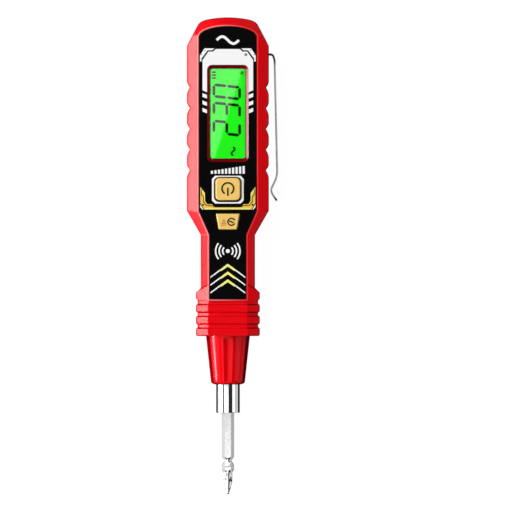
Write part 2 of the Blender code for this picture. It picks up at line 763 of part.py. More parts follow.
def make_display_lens(look):
    flange = rounded_rectangle(WINDOW[0] + 3.0, WINDOW[1] + 3.0, 1.5, (0.0, DISPLAY_Y))
    raised = rounded_rectangle(WINDOW[0] - 2 * GAP, WINDOW[1] - 2 * GAP, 0.9, (0.0, DISPLAY_Y))
    low, high = LENS_FLANGE_Z
    levels = [(flange, low), (flange, high), (raised, high + 0.01), (raised, LENS_TOP_Z)]
    return stepped_prism("display_lens", levels, look)


def make_lens_gasket(look):
    gasket = box("lens_gasket", (-8.1, 8.1), (DISPLAY_Y - 18.3, DISPLAY_Y + 18.3), GASKET_Z, look)
    cut(gasket, box("gasket_window", (-6.9, 6.9), (DISPLAY_Y - 17.1, DISPLAY_Y + 17.1), (17.0, 20.0)))
    return gasket


def make_key(name, outline_at, centre, look):
    """A key: cap with an eased edge, flange under the case wall and a stem above its switch."""
    low, high = CEILING_Z - GAP - 0.8, CEILING_Z - GAP
    flange, cap, top = outline_at(KEY_FLANGE), outline_at(0.0), outline_at(-KEY_EASE)
    levels = [
        (flange, low), (flange, high), (cap, high + 0.01), (cap, KEY_TOP_Z - KEY_EASE), (top, KEY_TOP_Z),
    ]
    key = stepped_prism(name, levels, look, origin=(*centre, KEY_TOP_Z))
    stem = post(f"{name}_stem", centre, 1.4, 18.1, low + 0.3, segments=16)
    stem.parent = key
    stem.matrix_parent_inverse.translation = -key.location
    join(key, stem)
    return key


def make_switch(name, centre, body_look, plunger_look):
    """A push switch on the board with a round plunger in a blind hole."""
    x, y = centre
    body = box(name, (x - 3.0, x + 3.0), (y - 3.0, y + 3.0), (BOARD_Z[1] + 0.2, 17.4), body_look)
    cut(body, post(f"{name}_well", centre, 1.75, 15.9, 18.0, segments=16))
    top = 17.85
    plunger = post(f"{name}_plunger", centre, 1.45, 16.7, top, plunger_look, segments=16, origin=(x, y, top))
    return body, plunger


# Electronics ---------------------------------------------------------------------------------------


def make_board(look):
    wide, tongue = 11.3, BOARD_TONGUE_HALF
    tail = 58.6
    outline = [
        (-tongue, BOARD_TONGUE_Y), (tongue, BOARD_TONGUE_Y), (tongue, 3.3), (wide, 3.3), (wide, tail - 4.0),
        (8.6, tail), (-8.6, tail), (-wide, tail - 4.0), (-wide, 3.3), (-tongue, 3.3),
    ]
    return prism("main_board", outline, *BOARD_Z, look)


def make_display_stack(looks):
    low, high = DISPLAY_Y - 17.2, DISPLAY_Y + 17.2
    box("lcd_panel", (-8.1, 8.1), (low - 2.9, high + 1.1), PANEL_Z, looks["panel"])
    box("lcd_backlight", (-7.4, 7.4), (low, high), BACKLIGHT_Z, looks["backlight"])
    box("lcd_connector", (-7.0, 7.0), (low - 2.5, low - 0.6), BACKLIGHT_Z, looks["connector"])
    for side, x in (("left", -3.5), ("right", 3.5)):
        box(f"backlight_led_{side}", (x - 1.0, x + 1.0), (high + 0.3, high + 1.5), BACKLIGHT_Z, looks["led"])


def make_board_parts(looks):
    box("controller_chip", (-3.0, 3.0), (-22.0, -15.0), (BOARD_Z[1] + 0.2, 16.9), looks["chip"])
    post("buzzer", (0.0, -7.0), 4.5, 9.6, BOARD_Z[0] - GAP, looks["buzzer"])
    foot = BOARD_TONGUE_Y - 0.8
    contact = box("antenna_contact", (-2.4, 2.4), (foot, foot + 0.4), (8.6, 13.65), looks["contact"])
    join(contact, box("antenna_foot", (-2.4, 2.4), (foot + 0.2, foot + 4.0), (13.2, 13.6)))
    coil("antenna_spring", lambda t: 2.1, lambda t: -35.35 + 5.0 * t, 4, 0.25, (0.0, AXIS_Z), looks["spring"])


# Batteries -----------------------------------------------------------------------------------------


def make_cell(name, x, positive_up, look):
    """A AAA cell with its raised positive button at one end."""
    nub = 0.9
    middle = (BAY_Y[0] + BAY_Y[1]) / 2
    direction = 1.0 if positive_up else -1.0
    start = middle - direction * (CELL_LENGTH / 2 - 0.55)
    along = [(CELL_RADIUS - 0.3, 0.0), (CELL_RADIUS, 0.3), (CELL_RADIUS, CELL_LENGTH - nub - 0.3)]
    along += [(CELL_RADIUS - 0.3, CELL_LENGTH - nub), (1.9, CELL_LENGTH - nub + 0.01), (1.9, CELL_LENGTH)]
    profile = [(radius, start + direction * y) for radius, y in along]
    return turned(name, profile, look, centre=(x, CELL_Z), segments=20)


def make_batteries(looks):
    make_cell("battery_1", -CELL_X, False, looks["cell"])
    make_cell("battery_2", CELL_X, True, looks["cell"])
    low, high = BAY_Y
    plate_z = (CELL_Z - 4.2, CELL_Z + 4.2)
    box("battery_link_plate", (-10.2, 10.2), (high - 0.55, high - 0.2), plate_z, looks["plate"])
    box("positive_terminal", (-CELL_X - 4.2, -CELL_X + 4.2), (low + 0.2, low + 0.55), plate_z, looks["plate"])
    box("negative_terminal", (CELL_X - 4.2, CELL_X + 4.2), (low + 0.2, low + 0.55), plate_z, looks["plate"])
    middle = (low + high) / 2
    tail_face = middle + CELL_LENGTH / 2 - 0.55
    reach = (tail_face + 0.45, high - 1.0)
    coil("battery_spring_1", lambda t: 2.2 + 1.4 * t, lambda t: reach[0] + (reach[1] - reach[0]) * t,
         2.5, 0.25, (-CELL_X, CELL_Z), looks["spring"])
    foot = (middle - CELL_LENGTH / 2 + 0.55 - 0.45, low + 1.0)
    coil("battery_spring_2", lambda t: 2.2 + 1.4 * t, lambda t: foot[0] + (foot[1] - foot[0]) * t,
         2.5, 0.25, (CELL_X, CELL_Z), looks["spring"])


def make_battery_door(look):
    low, high = DOOR_Y
    hinge = (0.0, low - 0.2, 0.0)
    door = box("battery_door", (-DOOR_HALF, DOOR_HALF), (low, high), DOOR_Z, look, origin=hinge)
    for k in range(4):
        start = low + 1.4 + 14.7 * k
        join(door, box(f"door_rib_{k}", (-9.8, 9.8), (start, start + 0.8), (1.4, 1.75)))
    hole = post("door_hole", (0.0, DOOR_SCREW_Y), SCREW_HOLE_RADIUS, 0.0, 3.0, segments=12)
    sink = post("door_sink", (0.0, DOOR_SCREW_Y), SCREW_WELL_RADIUS, 0.0, 1.1, segments=16)
    cut(door, hole, sink)
    for k in range(4):
        start = 46.0 + 1.4 * k
        cut(door, box(f"door_grip_{k}", (-5.0, 5.0), (start, start + 0.7), (0.0, 0.6)))
    return door


def make_screw(name, centre, z_head, z_end, look, radius=1.9):
    """A cross-headed screw that points to +Z, its head at z_head."""
    x, y = centre
    turn = [2 * math.pi * k / 16 for k in range(16)]

    def ring(r, z):
        return [(x + r * math.cos(a), y + r * math.sin(a), z) for a in turn]
    low, high = z_head
    loops = [ring(radius - 0.35, low), ring(radius, low + 0.3), ring(radius, high), ring(1.0, high + 0.01)]
    loops += [ring(1.0, z_end - 0.6), ring(0.4, z_end)]
    screw = mesh_object(name, *skin(loops), look)
    for tag, sx, sy in (("a", 0.22, 1.1), ("b", 1.1, 0.22)):
        slot = box(f"{name}_slot_{tag}", (x - sx, x + sx), (y - sy, y + sy), (low - 0.5, low + 0.45))
        cut(screw, slot)
    return screw


def make_fasteners(look):
    for name, centre in SCREWS.items():
        make_screw(name, centre, (0.35, 1.6), 15.8, look)
    make_screw("battery_door_screw", (0.0, DOOR_SCREW_Y), (0.35, 0.8), 6.4, look)


def main():
    clear_scene()
    red = material("red_shell_plastic", (0.62, 0.01, 0.02), 0.32)
    steel = material("spring_steel", (0.62, 0.62, 0.6), 0.3, 1.0)
    chrome = material("chrome", (0.8, 0.8, 0.82), 0.08, 1.0)
    black = material("black_plastic", (0.02, 0.02, 0.02), 0.45)
    tan = material("tan_plastic", (0.95, 0.58, 0.2), 0.4)
    plate = material("nickel_plate", (0.7, 0.68, 0.62), 0.3, 1.0)
    make_front_shell(red)
    make_rear_shell(red)
    make_grip_collar(material("red_grip_plastic", (0.65, 0.01, 0.02), 0.35))
    make_nose_cone(material("red_nose_plastic", (0.7, 0.01, 0.01), 0.15))
    make_bit_socket(chrome)
    make_magnet(plate)
    make_bit(material("bit_steel", (0.66, 0.66, 0.68), 0.35, 1.0))
    make_pocket_clip(steel)
    make_face_label(material("label_film", (0.01, 0.01, 0.012), 0.35))
    make_display_lens(material("clear_lens", (0.8, 0.95, 0.85), 0.05))
    make_lens_gasket(material("foam", (0.05, 0.05, 0.05), 0.9))
    power = (0.0, POWER_Y)
    mode = (0.0, (MODE_Y[0] + MODE_Y[1]) / 2)
    make_key("power_button", power_outline, power, tan)
    make_key("mode_button", mode_outline, mode, tan)
    make_switch("power_switch", power, black, plate)
    make_switch("mode_switch", mode, black, plate)
    make_board(material("board_laminate", (0.03, 0.2, 0.08), 0.5))
    make_display_stack({
        "panel": material("lcd_glass", (0.15, 0.85, 0.12), 0.2),
        "backlight": material("light_guide", (0.4, 0.9, 0.35), 0.4),
        "connector": material("zebra_rubber", (0.3, 0.3, 0.32), 0.8),
        "led": material("led_body", (0.85, 0.9, 0.8), 0.4),
    })
    make_board_parts({"chip": black, "buzzer": black, "contact": plate, "spring": steel})
    make_batteries({"cell": material("cell_wrap", (0.1, 0.12, 0.16), 0.35), "plate": plate, "spring": steel})
    make_battery_door(red)
    make_fasteners(material("screw_zinc", (0.5, 0.5, 0.5), 0.35, 1.0))


main()
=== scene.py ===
"""The looks of the voltage tester pen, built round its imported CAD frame.

The pen lies on its back on a pale floor: +X to the clip side, +Y to the tail, +Z out of the display.
Lengths are in millimetres and become metres where a mesh is made.
"""

import math

import bmesh
import bpy
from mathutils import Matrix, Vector


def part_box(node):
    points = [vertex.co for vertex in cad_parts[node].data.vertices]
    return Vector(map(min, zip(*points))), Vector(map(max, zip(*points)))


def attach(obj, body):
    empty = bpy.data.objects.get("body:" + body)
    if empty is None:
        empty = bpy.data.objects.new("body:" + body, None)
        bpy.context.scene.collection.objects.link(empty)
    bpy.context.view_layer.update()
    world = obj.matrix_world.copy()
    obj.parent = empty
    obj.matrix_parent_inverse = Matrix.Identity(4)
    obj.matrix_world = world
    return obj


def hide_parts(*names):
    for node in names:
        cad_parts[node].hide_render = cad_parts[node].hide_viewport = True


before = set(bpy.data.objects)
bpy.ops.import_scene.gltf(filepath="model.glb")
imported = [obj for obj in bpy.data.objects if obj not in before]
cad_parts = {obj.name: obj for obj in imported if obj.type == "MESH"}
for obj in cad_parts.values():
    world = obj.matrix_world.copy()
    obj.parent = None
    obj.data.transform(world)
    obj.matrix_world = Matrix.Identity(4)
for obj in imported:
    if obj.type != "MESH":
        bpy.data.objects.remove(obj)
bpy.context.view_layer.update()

MM = 0.001
GAP = 0.3
WALL = 1.6


def span(node, axis):
    """Lowest and highest millimetre of a CAD node along one axis."""
    low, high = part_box(node)
    return low[axis] / MM, high[axis] / MM


# Places read from the frame.
BODY_HALF = span("front_shell", 0)[1]
TAIL_Y = span("front_shell", 1)[1]
FRONT_Z = span("front_shell", 2)[1]
LABEL_LOW_Z, LABEL_TOP_Z = span("face_label", 2)
LABEL_HALF = span("face_label", 0)[1]
COLLAR_Y = span("grip_collar", 1)
COLLAR_HALF = span("grip_collar", 0)[1]
COLLAR_BACK_Z = span("grip_collar", 2)[0]
SOCKET_Y = span("bit_socket", 1)
NOSE_Y = span("nose_cone", 1)
BIT_Y = span("screwdriver_bit", 1)
CLIP_Z = span("pocket_clip", 2)
PANEL_TOP_Z = span("lcd_panel", 2)[1]
LENS_Z = span("display_lens", 2)
DOOR_Y = span("battery_door", 1)
DOOR_HALF = span("battery_door", 0)[1]
KEY_LOW_Z, KEY_TOP_Z = span("power_button", 2)

# Case outline, the same driving sizes as the CAD's.
TAIL_ARC_RADIUS = 38.7
TAIL_ARC_HALF = 8.3
TAIL_CORNER = (10.9, 66.2)
TAIL_ELBOW = (10.0, 67.2)
BODY_TOP_Y = 58.1
NOTCH_COUNT = 5
NOTCH_FIRST_Y = 42.9
NOTCH_PITCH = 7.68
NOTCH_REACH = (2.3, 3.3)
NOTCH_DEPTH = 1.15
SHOULDER_Y = -2.8
NECK_HALF = 10.0
NECK_Y = -11.8
FLARE_Y = -31.5
FLARE_RIDGE_Y = (-29.9, -30.3)
RIB_HALF = 11.8
RIB_Y = -33.1
CASE_END_Y = -35.9
AXIS_Z = 11.0
RECESS_Z = 21.3
CEILING_Z = 19.7
NECK_BACK_Z = 2.2
RIB_BACK_Z = 0.6
BODY_SLOPE = 0.92
NECK_SLOPE = 0.94
FLARE_SLOPE = 1.2
BACK_SLOPE = 1.05
BACK_CHAMFER = 2.85
LABEL_NECK_HALF = 6.75
LABEL_ARCH_Y = 61.2
LABEL_ARCH_RISE = 3.9
LABEL_SHOULDER_Y = -3.0
LABEL_NECK_Y = -11.65
LABEL_END_Y = -35.5
RECESS_MARGIN = 0.2
RIM_WIDTH = 0.38
DISPLAY_Y = 33.0
DISPLAY_CUT = (15.3, 35.8)
DISPLAY_CUT_RADIUS = 1.9
WINDOW = (13.3, 33.6)
WINDOW_RADIUS = 1.1
WINDOW_Z = 20.4
POWER_Y = 5.1
POWER_SIZE = (9.2, 8.4)
POWER_RADIUS = 1.6
MODE_Y = (-9.9, -3.9)
MODE_HALF = (3.35, 4.45)
CELL_Z = 7.3
CELL_RADIUS = 5.15
BAY_HALF = 11.0
BAY_Y = (4.3, 52.9)
BAY_TOP_Z = 12.75
BAY_WALL = 0.9
DOOR_SCREW_Y = 55.7
GROOVE_FIRST_Y = -36.8
GROOVE_PITCH = 4.35
GROOVE_HALF = 1.05
GROOVE_FLOOR_HALF = 0.5
GROOVE_DEPTH = 0.62
LIP_INSET = 1.6
LIP_END_Y = -36.9
COLLAR_REACH = 0.22
COLLAR_FACE_HALF = 7.3
COLLAR_FLAT_HALF = 7.6
SPIGOT_RADIUS = 8.7
SPIGOT_BORE = 7.0
SPIGOT_Y = -43.3
SPIGOT_BORE_Y = (-45.0, -33.0)
NOSE_FRONT_Y = -46.9
NOSE_TAPER_Y = -49.5
NOSE_RADIUS = (6.3, 8.1)
FLUTE_COUNT = 5
FLUTE_SPAN = 28.3
FLUTE_MIDDLE = 89.35
FLUTE_DEPTH = 0.06
SOCKET_RADIUS = 4.4
BIT_FLATS = 4.0
BIT_WAIST = 1.38
BIT_SHANK = 1.62
BIT_BORE_FLATS = 4.5
BOSS_RADIUS = 2.4
SCREW_HOLE_RADIUS = 1.3
SCREW_WELL_RADIUS = 2.2
SCREW_WELL_Z = 1.9
SCREW_PILOT_Z = 16.5
CLIP_THICKNESS = 0.7
CLIP_ROOT = (14.3, 55.1)
PRINT_THICKNESS = 0.03
OVER_PRINT_Z = LABEL_TOP_Z + 0.02
KEY_MARK_Z = KEY_TOP_Z - 0.045
KEY_FLANGE = 0.9
KEY_EASE = 0.5

SCREWS = {
    "shell_screw_top": (0.0, 62.6),
    "shell_screw_left": (-9.3, 0.0),
    "shell_screw_right": (9.3, 0.0),
}


# Materials -----------------------------------------------------------------------------------------


class Look:
    """A node material on the Principled shader, with helpers to vary it over the surface."""

    def __init__(self, name, **constants):
        self.material = bpy.data.materials.new(name)
        self.material.use_nodes = True
        self.tree = self.material.node_tree
        self.shader = self.tree.nodes["Principled BSDF"]
        for socket, value in constants.items():
            self.shader.inputs[socket.replace("_", " ")].default_value = value
        coordinates = self.tree.nodes.new("ShaderNodeTexCoord")
        self.place = coordinates.outputs["Object"]
        self.turn = coordinates.outputs["Normal"]

    def stretched(self, scale):
        mapping = self.tree.nodes.new("ShaderNodeMapping")
        mapping.inputs["Scale"].default_value = scale
        self.tree.links.new(self.place, mapping.inputs["Vector"])
        return mapping.outputs["Vector"]

    def noise(self, scale, detail=2.0, vector=None):
        made = self.tree.nodes.new("ShaderNodeTexNoise")
        made.inputs["Scale"].default_value = scale
        made.inputs["Detail"].default_value = detail
        self.tree.links.new(vector or self.place, made.inputs["Vector"])
        return made.outputs["Fac"]

    def between(self, factor, low, high, start=0.3, end=0.7):
        made = self.tree.nodes.new("ShaderNodeMapRange")
        made.inputs["From Min"].default_value = start
        made.inputs["From Max"].default_value = end
        made.inputs["To Min"].default_value = low
        made.inputs["To Max"].default_value = high
        self.tree.links.new(factor, made.inputs["Value"])
        return made.outputs["Result"]

    def mix(self, factor, low, high):
        """Colour between two sockets or colours."""
        made = self.tree.nodes.new("ShaderNodeMix")
        made.data_type = "RGBA"
        self.tree.links.new(factor, made.inputs["Factor"])
        for name, source in (("A", low), ("B", high)):
            if isinstance(source, tuple):
                made.inputs[name].default_value = (*source, 1.0)
            else:
                self.tree.links.new(source, made.inputs[name])
        return made.outputs["Result"]

    def combine(self, operation, first, second=None):
        made = self.tree.nodes.new("ShaderNodeMath")
        made.operation = operation
        for socket, source in zip(made.inputs, (first, second)):
            if isinstance(source, float):
                socket.default_value = source
            elif source is not None:
                self.tree.links.new(source, socket)
        return made.outputs["Value"]

    def axis(self, vector, name):
        made = self.tree.nodes.new("ShaderNodeSeparateXYZ")
        self.tree.links.new(vector, made.inputs["Vector"])
        return made.outputs[name]

    def uprightness(self, start, end):
        """0 where the surface stands upright, 1 where it faces the front or the back of the pen."""
        return self.between(self.combine("ABSOLUTE", self.axis(self.turn, "Z")), 0.0, 1.0, start, end)

    def feed(self, socket, source):
        self.tree.links.new(source, self.shader.inputs[socket])

    def bump(self, height, distance):
        made = self.tree.nodes.new("ShaderNodeBump")
        made.inputs["Distance"].default_value = distance
        made.inputs["Strength"].default_value = 1.0
        self.tree.links.new(height, made.inputs["Height"])
        self.tree.links.new(made.outputs["Normal"], self.shader.inputs["Normal"])


def scaled(colour, factor):
    return tuple(min(1.0, c * factor) for c in colour)


def mottled(look, colour, amount):
    """A colour that wanders by amount over the surface."""
    return look.mix(look.noise(120, 3.0), scaled(colour, 1 - amount), scaled(colour, 1 + amount))


def uneven(look, colour, low, high, scale=260):
    """A colour that wanders between low and high times itself."""
    return look.mix(look.noise(scale), scaled(colour, low), scaled(colour, high))


def rubbed(look, source, roughness, low, high):
    """Roughness that follows source between low and high times itself."""
    look.feed("Roughness", look.between(source, roughness * low, roughness * high))


def moulded_skin(look, roughness, grain=3400, relief=0.0000015):
    """Handling haze in the gloss and a fine skin texture."""
    rubbed(look, look.noise(420, 4.0), roughness, 0.92, 1.1)
    look.bump(look.noise(grain, 2.0), relief)
    return look.material


def moulded(name, colour, roughness, relief=0.0000015, grain=3400, **constants):
    """Moulded plastic with a faint colour mottle."""
    look = Look(name, **constants)
    look.feed("Base Color", mottled(look, colour, 0.015))
    return moulded_skin(look, roughness, grain, relief)


def red_shell(name, roughness, level, front=False):
    """Red moulding with painted shade: its upright walls are painted a deeper red than its face and are duller.

    The front shell also has painted shade in its display bezel and a painted highlight, strongest on the left,
    along the rim round the label.
    """
    look = Look(name)
    face = look.uprightness(0.46, 0.72)
    # Painted shade: upright walls take a deep red in place of the face colour.
    body = look.mix(face, PAINTED_SHADE_RED, mottled(look, RED, 0.015))
    gloss = look.between(face, 0.0, level, 0.0, 1.0)
    if front:
        # Painted highlight: a pale pink along the top of the rim round the label, fading from the left side to
        # the right.
        rim = look.between(look.axis(look.place, "Z"), 0.0, 1.0, (FRONT_Z - 0.08) * MM, (FRONT_Z - 0.02) * MM)
        lit_side = look.between(look.axis(look.place, "X"), 0.9, 0.12, -6.0 * MM, 6.0 * MM)
        body = look.mix(look.combine("MULTIPLY", rim, lit_side), body, RIM_PAINTED_HIGHLIGHT)
        # Painted shade: the sloped display bezel inside the label's cut is painted a darker red and given a
        # little more gloss.
        across = look.combine("ABSOLUTE", look.axis(look.place, "X"))
        along = look.combine("ABSOLUTE", look.combine("SUBTRACT", look.axis(look.place, "Y"), DISPLAY_Y * MM))
        half_w, half_h = (size / 2 * MM for size in DISPLAY_CUT)
        edge = 0.1 * MM
        inside = look.combine("MULTIPLY", look.between(across, 1.0, 0.0, half_w, half_w + edge),
                              look.between(along, 1.0, 0.0, half_h, half_h + edge))
        body = look.mix(inside, body, BEZEL_SHADE_RED)
        gloss = look.combine("MAXIMUM", gloss, look.combine("MULTIPLY", inside, 0.16))
    look.feed("Base Color", body)
    look.feed("Specular IOR Level", gloss)
    return moulded_skin(look, roughness)


def key_moulding(name, colour, roughness):
    """Tan key moulding whose rounded rim is shaded towards its upright sides."""
    look = Look(name, Specular_IOR_Level=0.25)
    face = look.uprightness(0.45, 0.85)
    look.feed("Base Color", look.mix(face, scaled(colour, 0.02), mottled(look, colour, 0.02)))
    return moulded_skin(look, roughness)


def mirror_metal(name, colour, roughness, edge):
    """Bright polished metal with a painted dark reflection where it turns down to the floor."""
    look = Look(name, Specular_IOR_Level=0.0, Specular_Tint=DARK_REFLECTION_TINT)
    # Painted dark reflection: towards upright sides the colour drops nearly to black, metalness fades and the
    # edge tint is black.
    face = look.uprightness(*edge)
    look.feed("Metallic", face)
    look.feed("Base Color", look.mix(face, scaled(colour, 0.03), uneven(look, colour, 0.985, 1.01)))
    rubbed(look, look.noise(700, 3.0), roughness, 0.85, 1.2)
    look.bump(look.noise(4200), 0.0000001)
    return look.material


def strip_steel(name, colour, roughness):
    """Sheared spring strip whose colour is made far darker over both ends, where it bends."""
    look = Look(name, Metallic=1.0, Specular_Tint=METAL_EDGE)
    along = look.axis(look.place, "Y")
    # The colour drops to near black over both ends of the strip.
    bare = look.combine("MULTIPLY", look.between(along, 0.0, 1.0, 1.6 * MM, 2.6 * MM),
                        look.between(along, 1.0, 0.0, 50.6 * MM, 52.4 * MM))
    lines = look.noise(5200, 3.0, look.stretched((1.0, 0.06, 1.0)))
    look.feed("Base Color", look.mix(bare, scaled(colour, 0.08), uneven(look, colour, 0.95, 1.04)))
    rubbed(look, lines, roughness, 0.8, 1.3)
    look.bump(lines, 0.000003)
    return look.material


def drawn_metal(name, colour, roughness, stretch=(1.0, 0.06, 1.0)):
    """Metal with fine drawn lines, along the pen unless stretch says otherwise, and slightly uneven gloss."""
    look = Look(name, Metallic=1.0)
    lines = look.noise(5200, 3.0, look.stretched(stretch))
    look.feed("Base Color", uneven(look, colour, 0.93, 1.05))
    rubbed(look, lines, roughness, 0.75, 1.35)
    look.bump(lines, 0.000004)
    return look.material


def printed(name, colour, roughness=0.45):
    """Screen-printed ink: slightly uneven cover with a fine grain."""
    look = Look(name, Specular_IOR_Level=0.25)
    grain = look.noise(3200, 2.0)
    look.feed("Base Color", look.mix(grain, scaled(colour, 0.94), scaled(colour, 1.03)))
    rubbed(look, look.noise(600), roughness, 0.9, 1.15)
    look.bump(grain, 0.000002)
    return look.material


def lit_panel(name, colour, strength):
    """The backlit panel: a green glow with a slow unevenness over a faintly mottled green base."""
    look = Look(name, Roughness=0.35, Specular_IOR_Level=0.2, Emission_Strength=strength)
    look.feed("Emission Color", uneven(look, colour, 0.93, 1.05, scale=70))
    look.feed("Base Color", look.mix(look.noise(1500), (0.004, 0.10, 0.003), (0.006, 0.14, 0.004)))
    look.bump(look.noise(5000), 0.000001)
    return look.material


def clear_moulding(name, colour, roughness):
    look = Look(name, Transmission_Weight=1.0, IOR=1.45)
    look.feed("Base Color", uneven(look, colour, 1.0, 1.02, scale=300))
    rubbed(look, look.noise(500, 3.0), roughness, 1.0, 2.0)
    return look.material


def banded_sleeve(name, dark, bright, split_y):
    """A cell's printed sleeve: a dark length and a bright length that meet round the cell."""
    look = Look(name, Coat_Weight=0.3)
    step = look.between(look.axis(look.place, "Y"), 0.0, 1.0, split_y - 0.0001, split_y + 0.0001)
    look.feed("Base Color", look.mix(step, dark, bright))
    look.feed("Roughness", look.between(look.noise(400), 0.26, 0.38))
    look.bump(look.noise(900), 0.000006)
    return look.material


def board_mask(name):
    """Solder mask with paler tracks running along the board."""
    look = Look(name, Specular_IOR_Level=0.5)
    tracks = look.noise(900, 1.0, look.stretched((1.0, 0.08, 1.0)))
    track = look.between(tracks, 0.0, 1.0, 0.48, 0.52)
    look.feed("Base Color", look.mix(track, (0.01, 0.09, 0.03), (0.02, 0.2, 0.07)))
    look.feed("Roughness", look.between(tracks, 0.3, 0.45))
    look.bump(tracks, 0.00001)
    return look.material


RED = (0.8, 0.0, 0.004)
METAL_EDGE = (0.3, 0.3, 0.3, 1.0)
DARK_REFLECTION_TINT = (0.0, 0.0, 0.0, 1.0)
PAINTED_SHADE_RED = (0.13, 0.0, 0.002)
BEZEL_SHADE_RED = (0.22, 0.0, 0.004)
RIM_PAINTED_HIGHLIGHT = (0.8, 0.3, 0.3)
MATERIALS = {
    "front": red_shell("front_red", 0.22, 0.07, front=True),
    "case": red_shell("case_red", 0.22, 0.07),
    "collar": red_shell("collar_red", 0.24, 0.07),
    "nose": red_shell("nose_red", 0.15, 0.1),
    "chrome": mirror_metal("socket_chrome", (0.8, 0.81, 0.82), 0.05, (0.53, 0.6)),
    "nickel": drawn_metal("nickel_plate", (0.72, 0.69, 0.62), 0.28),
    "wire": drawn_metal("spring_wire", (0.62, 0.61, 0.6), 0.3),
    "bit": mirror_metal("bit_steel", (0.67, 0.67, 0.68), 0.16, (0.15, 0.62)),
    "clip": strip_steel("clip_steel", (0.47, 0.46, 0.45), 0.3),
    "zinc": drawn_metal("screw_zinc", (0.6, 0.6, 0.6), 0.32, (0.06, 1.0, 1.0)),
    "label": moulded("label_black", (0.0012, 0.0012, 0.0014), 0.5, grain=4000, Specular_IOR_Level=0.03),
    "lens": clear_moulding("lens_clear", (0.98, 1.0, 0.98), 0.008),
    "panel": lit_panel("panel_green", (0.005, 0.86, 0.001), 1.0),
    "segment": moulded("segment_dark", (0.001, 0.004, 0.001), 0.6, relief=0.000001, Specular_IOR_Level=0.02),
    "key": key_moulding("key_tan", (0.9, 0.58, 0.15), 0.3),
    "key_mark": printed("key_mark_brown", (0.003, 0.0015, 0.0005)),
    "key_mark_amber": printed("key_mark_amber", (0.42, 0.17, 0.02)),
    "white": printed("print_white", (0.94, 0.94, 0.94)),
    "gold": printed("print_gold", (0.88, 0.58, 0.07)),
    "pale_gold": printed("print_pale_gold", (0.93, 0.88, 0.24)),
    "ink_black": printed("print_black", (0.004, 0.004, 0.004)),
    "foam": moulded("foam_black", (0.02, 0.02, 0.02), 0.9, relief=0.00003, grain=1200),
    "black": moulded("black_plastic", (0.015, 0.015, 0.016), 0.45),
    "guide": moulded("light_guide", (0.4, 0.8, 0.35), 0.3),
    "led": moulded("led_body", (0.8, 0.82, 0.76), 0.4),
    "zebra": moulded("zebra_rubber", (0.2, 0.2, 0.21), 0.7, grain=1800),
    "board": board_mask("board_mask"),
    "cell": banded_sleeve("cell_sleeve", (0.03, 0.035, 0.045), (0.55, 0.3, 0.08), 0.018),
}

CAD_LOOKS = {
    "nickel": ("socket_magnet", "antenna_contact", "power_switch_plunger", "mode_switch_plunger",
               "battery_link_plate", "positive_terminal", "negative_terminal"),
    "wire": ("antenna_spring", "battery_spring_1", "battery_spring_2"),
    "black": ("controller_chip", "buzzer", "power_switch", "mode_switch"),
    "led": ("backlight_led_left", "backlight_led_right"),
    "foam": ("lens_gasket",),
    "panel": ("lcd_panel",),
    "guide": ("lcd_backlight",),
    "zebra": ("lcd_connector",),
    "board": ("main_board",),
}


# Mesh helpers --------------------------------------------------------------------------------------


def new_mesh(name, points, faces):
    mesh = bpy.data.meshes.new(name)
    mesh.from_pydata([Vector(p) * MM for p in points], [], faces)
    edit = bmesh.new()
    edit.from_mesh(mesh)
    bmesh.ops.recalc_face_normals(edit, faces=edit.faces)
    edit.to_mesh(mesh)
    edit.free()
    thing = bpy.data.objects.new(name, mesh)
    bpy.context.scene.collection.objects.link(thing)
    return thing


def wall(base, count):
    """Faces of one band between a closed loop of points that starts at base and the loop after it."""
    turn = [(i, (i + 1) % count) for i in range(count)]
    return [(base + i, base + j, base + count + j, base + count + i) for i, j in turn]


def skin(loops):
    """Points and faces of a closed skin over loops that all have the same number of points."""
    count = len(loops[0])
    points = [p for loop in loops for p in loop]
    faces = [face for k in range(len(loops) - 1) for face in wall(k * count, count)]
    last = (len(loops) - 1) * count
    faces.append(tuple(range(count)))
    faces.append(tuple(last + i for i in range(count)))
    return points, faces


def carve(target, cuts=(), joins=()):
    """Joins and then cuts tool objects with exact booleans, applies the result and removes the tools."""
    for operation, tools in (("UNION", joins), ("DIFFERENCE", cuts)):
        for tool in tools:
            step = target.modifiers.new(tool.name, "BOOLEAN")
            step.operation = operation
            step.solver = "EXACT"
            step.object = tool
    bpy.context.view_layer.update()
    graph = bpy.context.evaluated_depsgraph_get()
    result = bpy.data.meshes.new_from_object(target.evaluated_get(graph))
    target.modifiers.clear()
    target.data = result
    for tool in (*cuts, *joins):
        bpy.data.objects.remove(tool, do_unlink=True)
    return target


def finish_piece(thing, look, body, replaces=(), sharp=30.0, bevel=0.0):
    """Shades a piece smooth between its sharp edges, gives it its material and ties it to its body."""
    thing.data.materials.clear()
    thing.data.materials.append(MATERIALS[look])
    if bevel:
        ease = thing.modifiers.new("ease", "BEVEL")
        ease.width = bevel * MM
        ease.segments = 2
        ease.limit_method = "ANGLE"
        ease.angle_limit = math.radians(sharp)
        ease.harden_normals = False
    thing.data.shade_smooth()
    thing.data.set_sharp_from_angle(angle=math.radians(sharp))
    weigh = thing.modifiers.new("weigh", "WEIGHTED_NORMAL")
    weigh.keep_sharp = True
    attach(thing, body)
    if replaces:
        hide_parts(*replaces)
    return thing


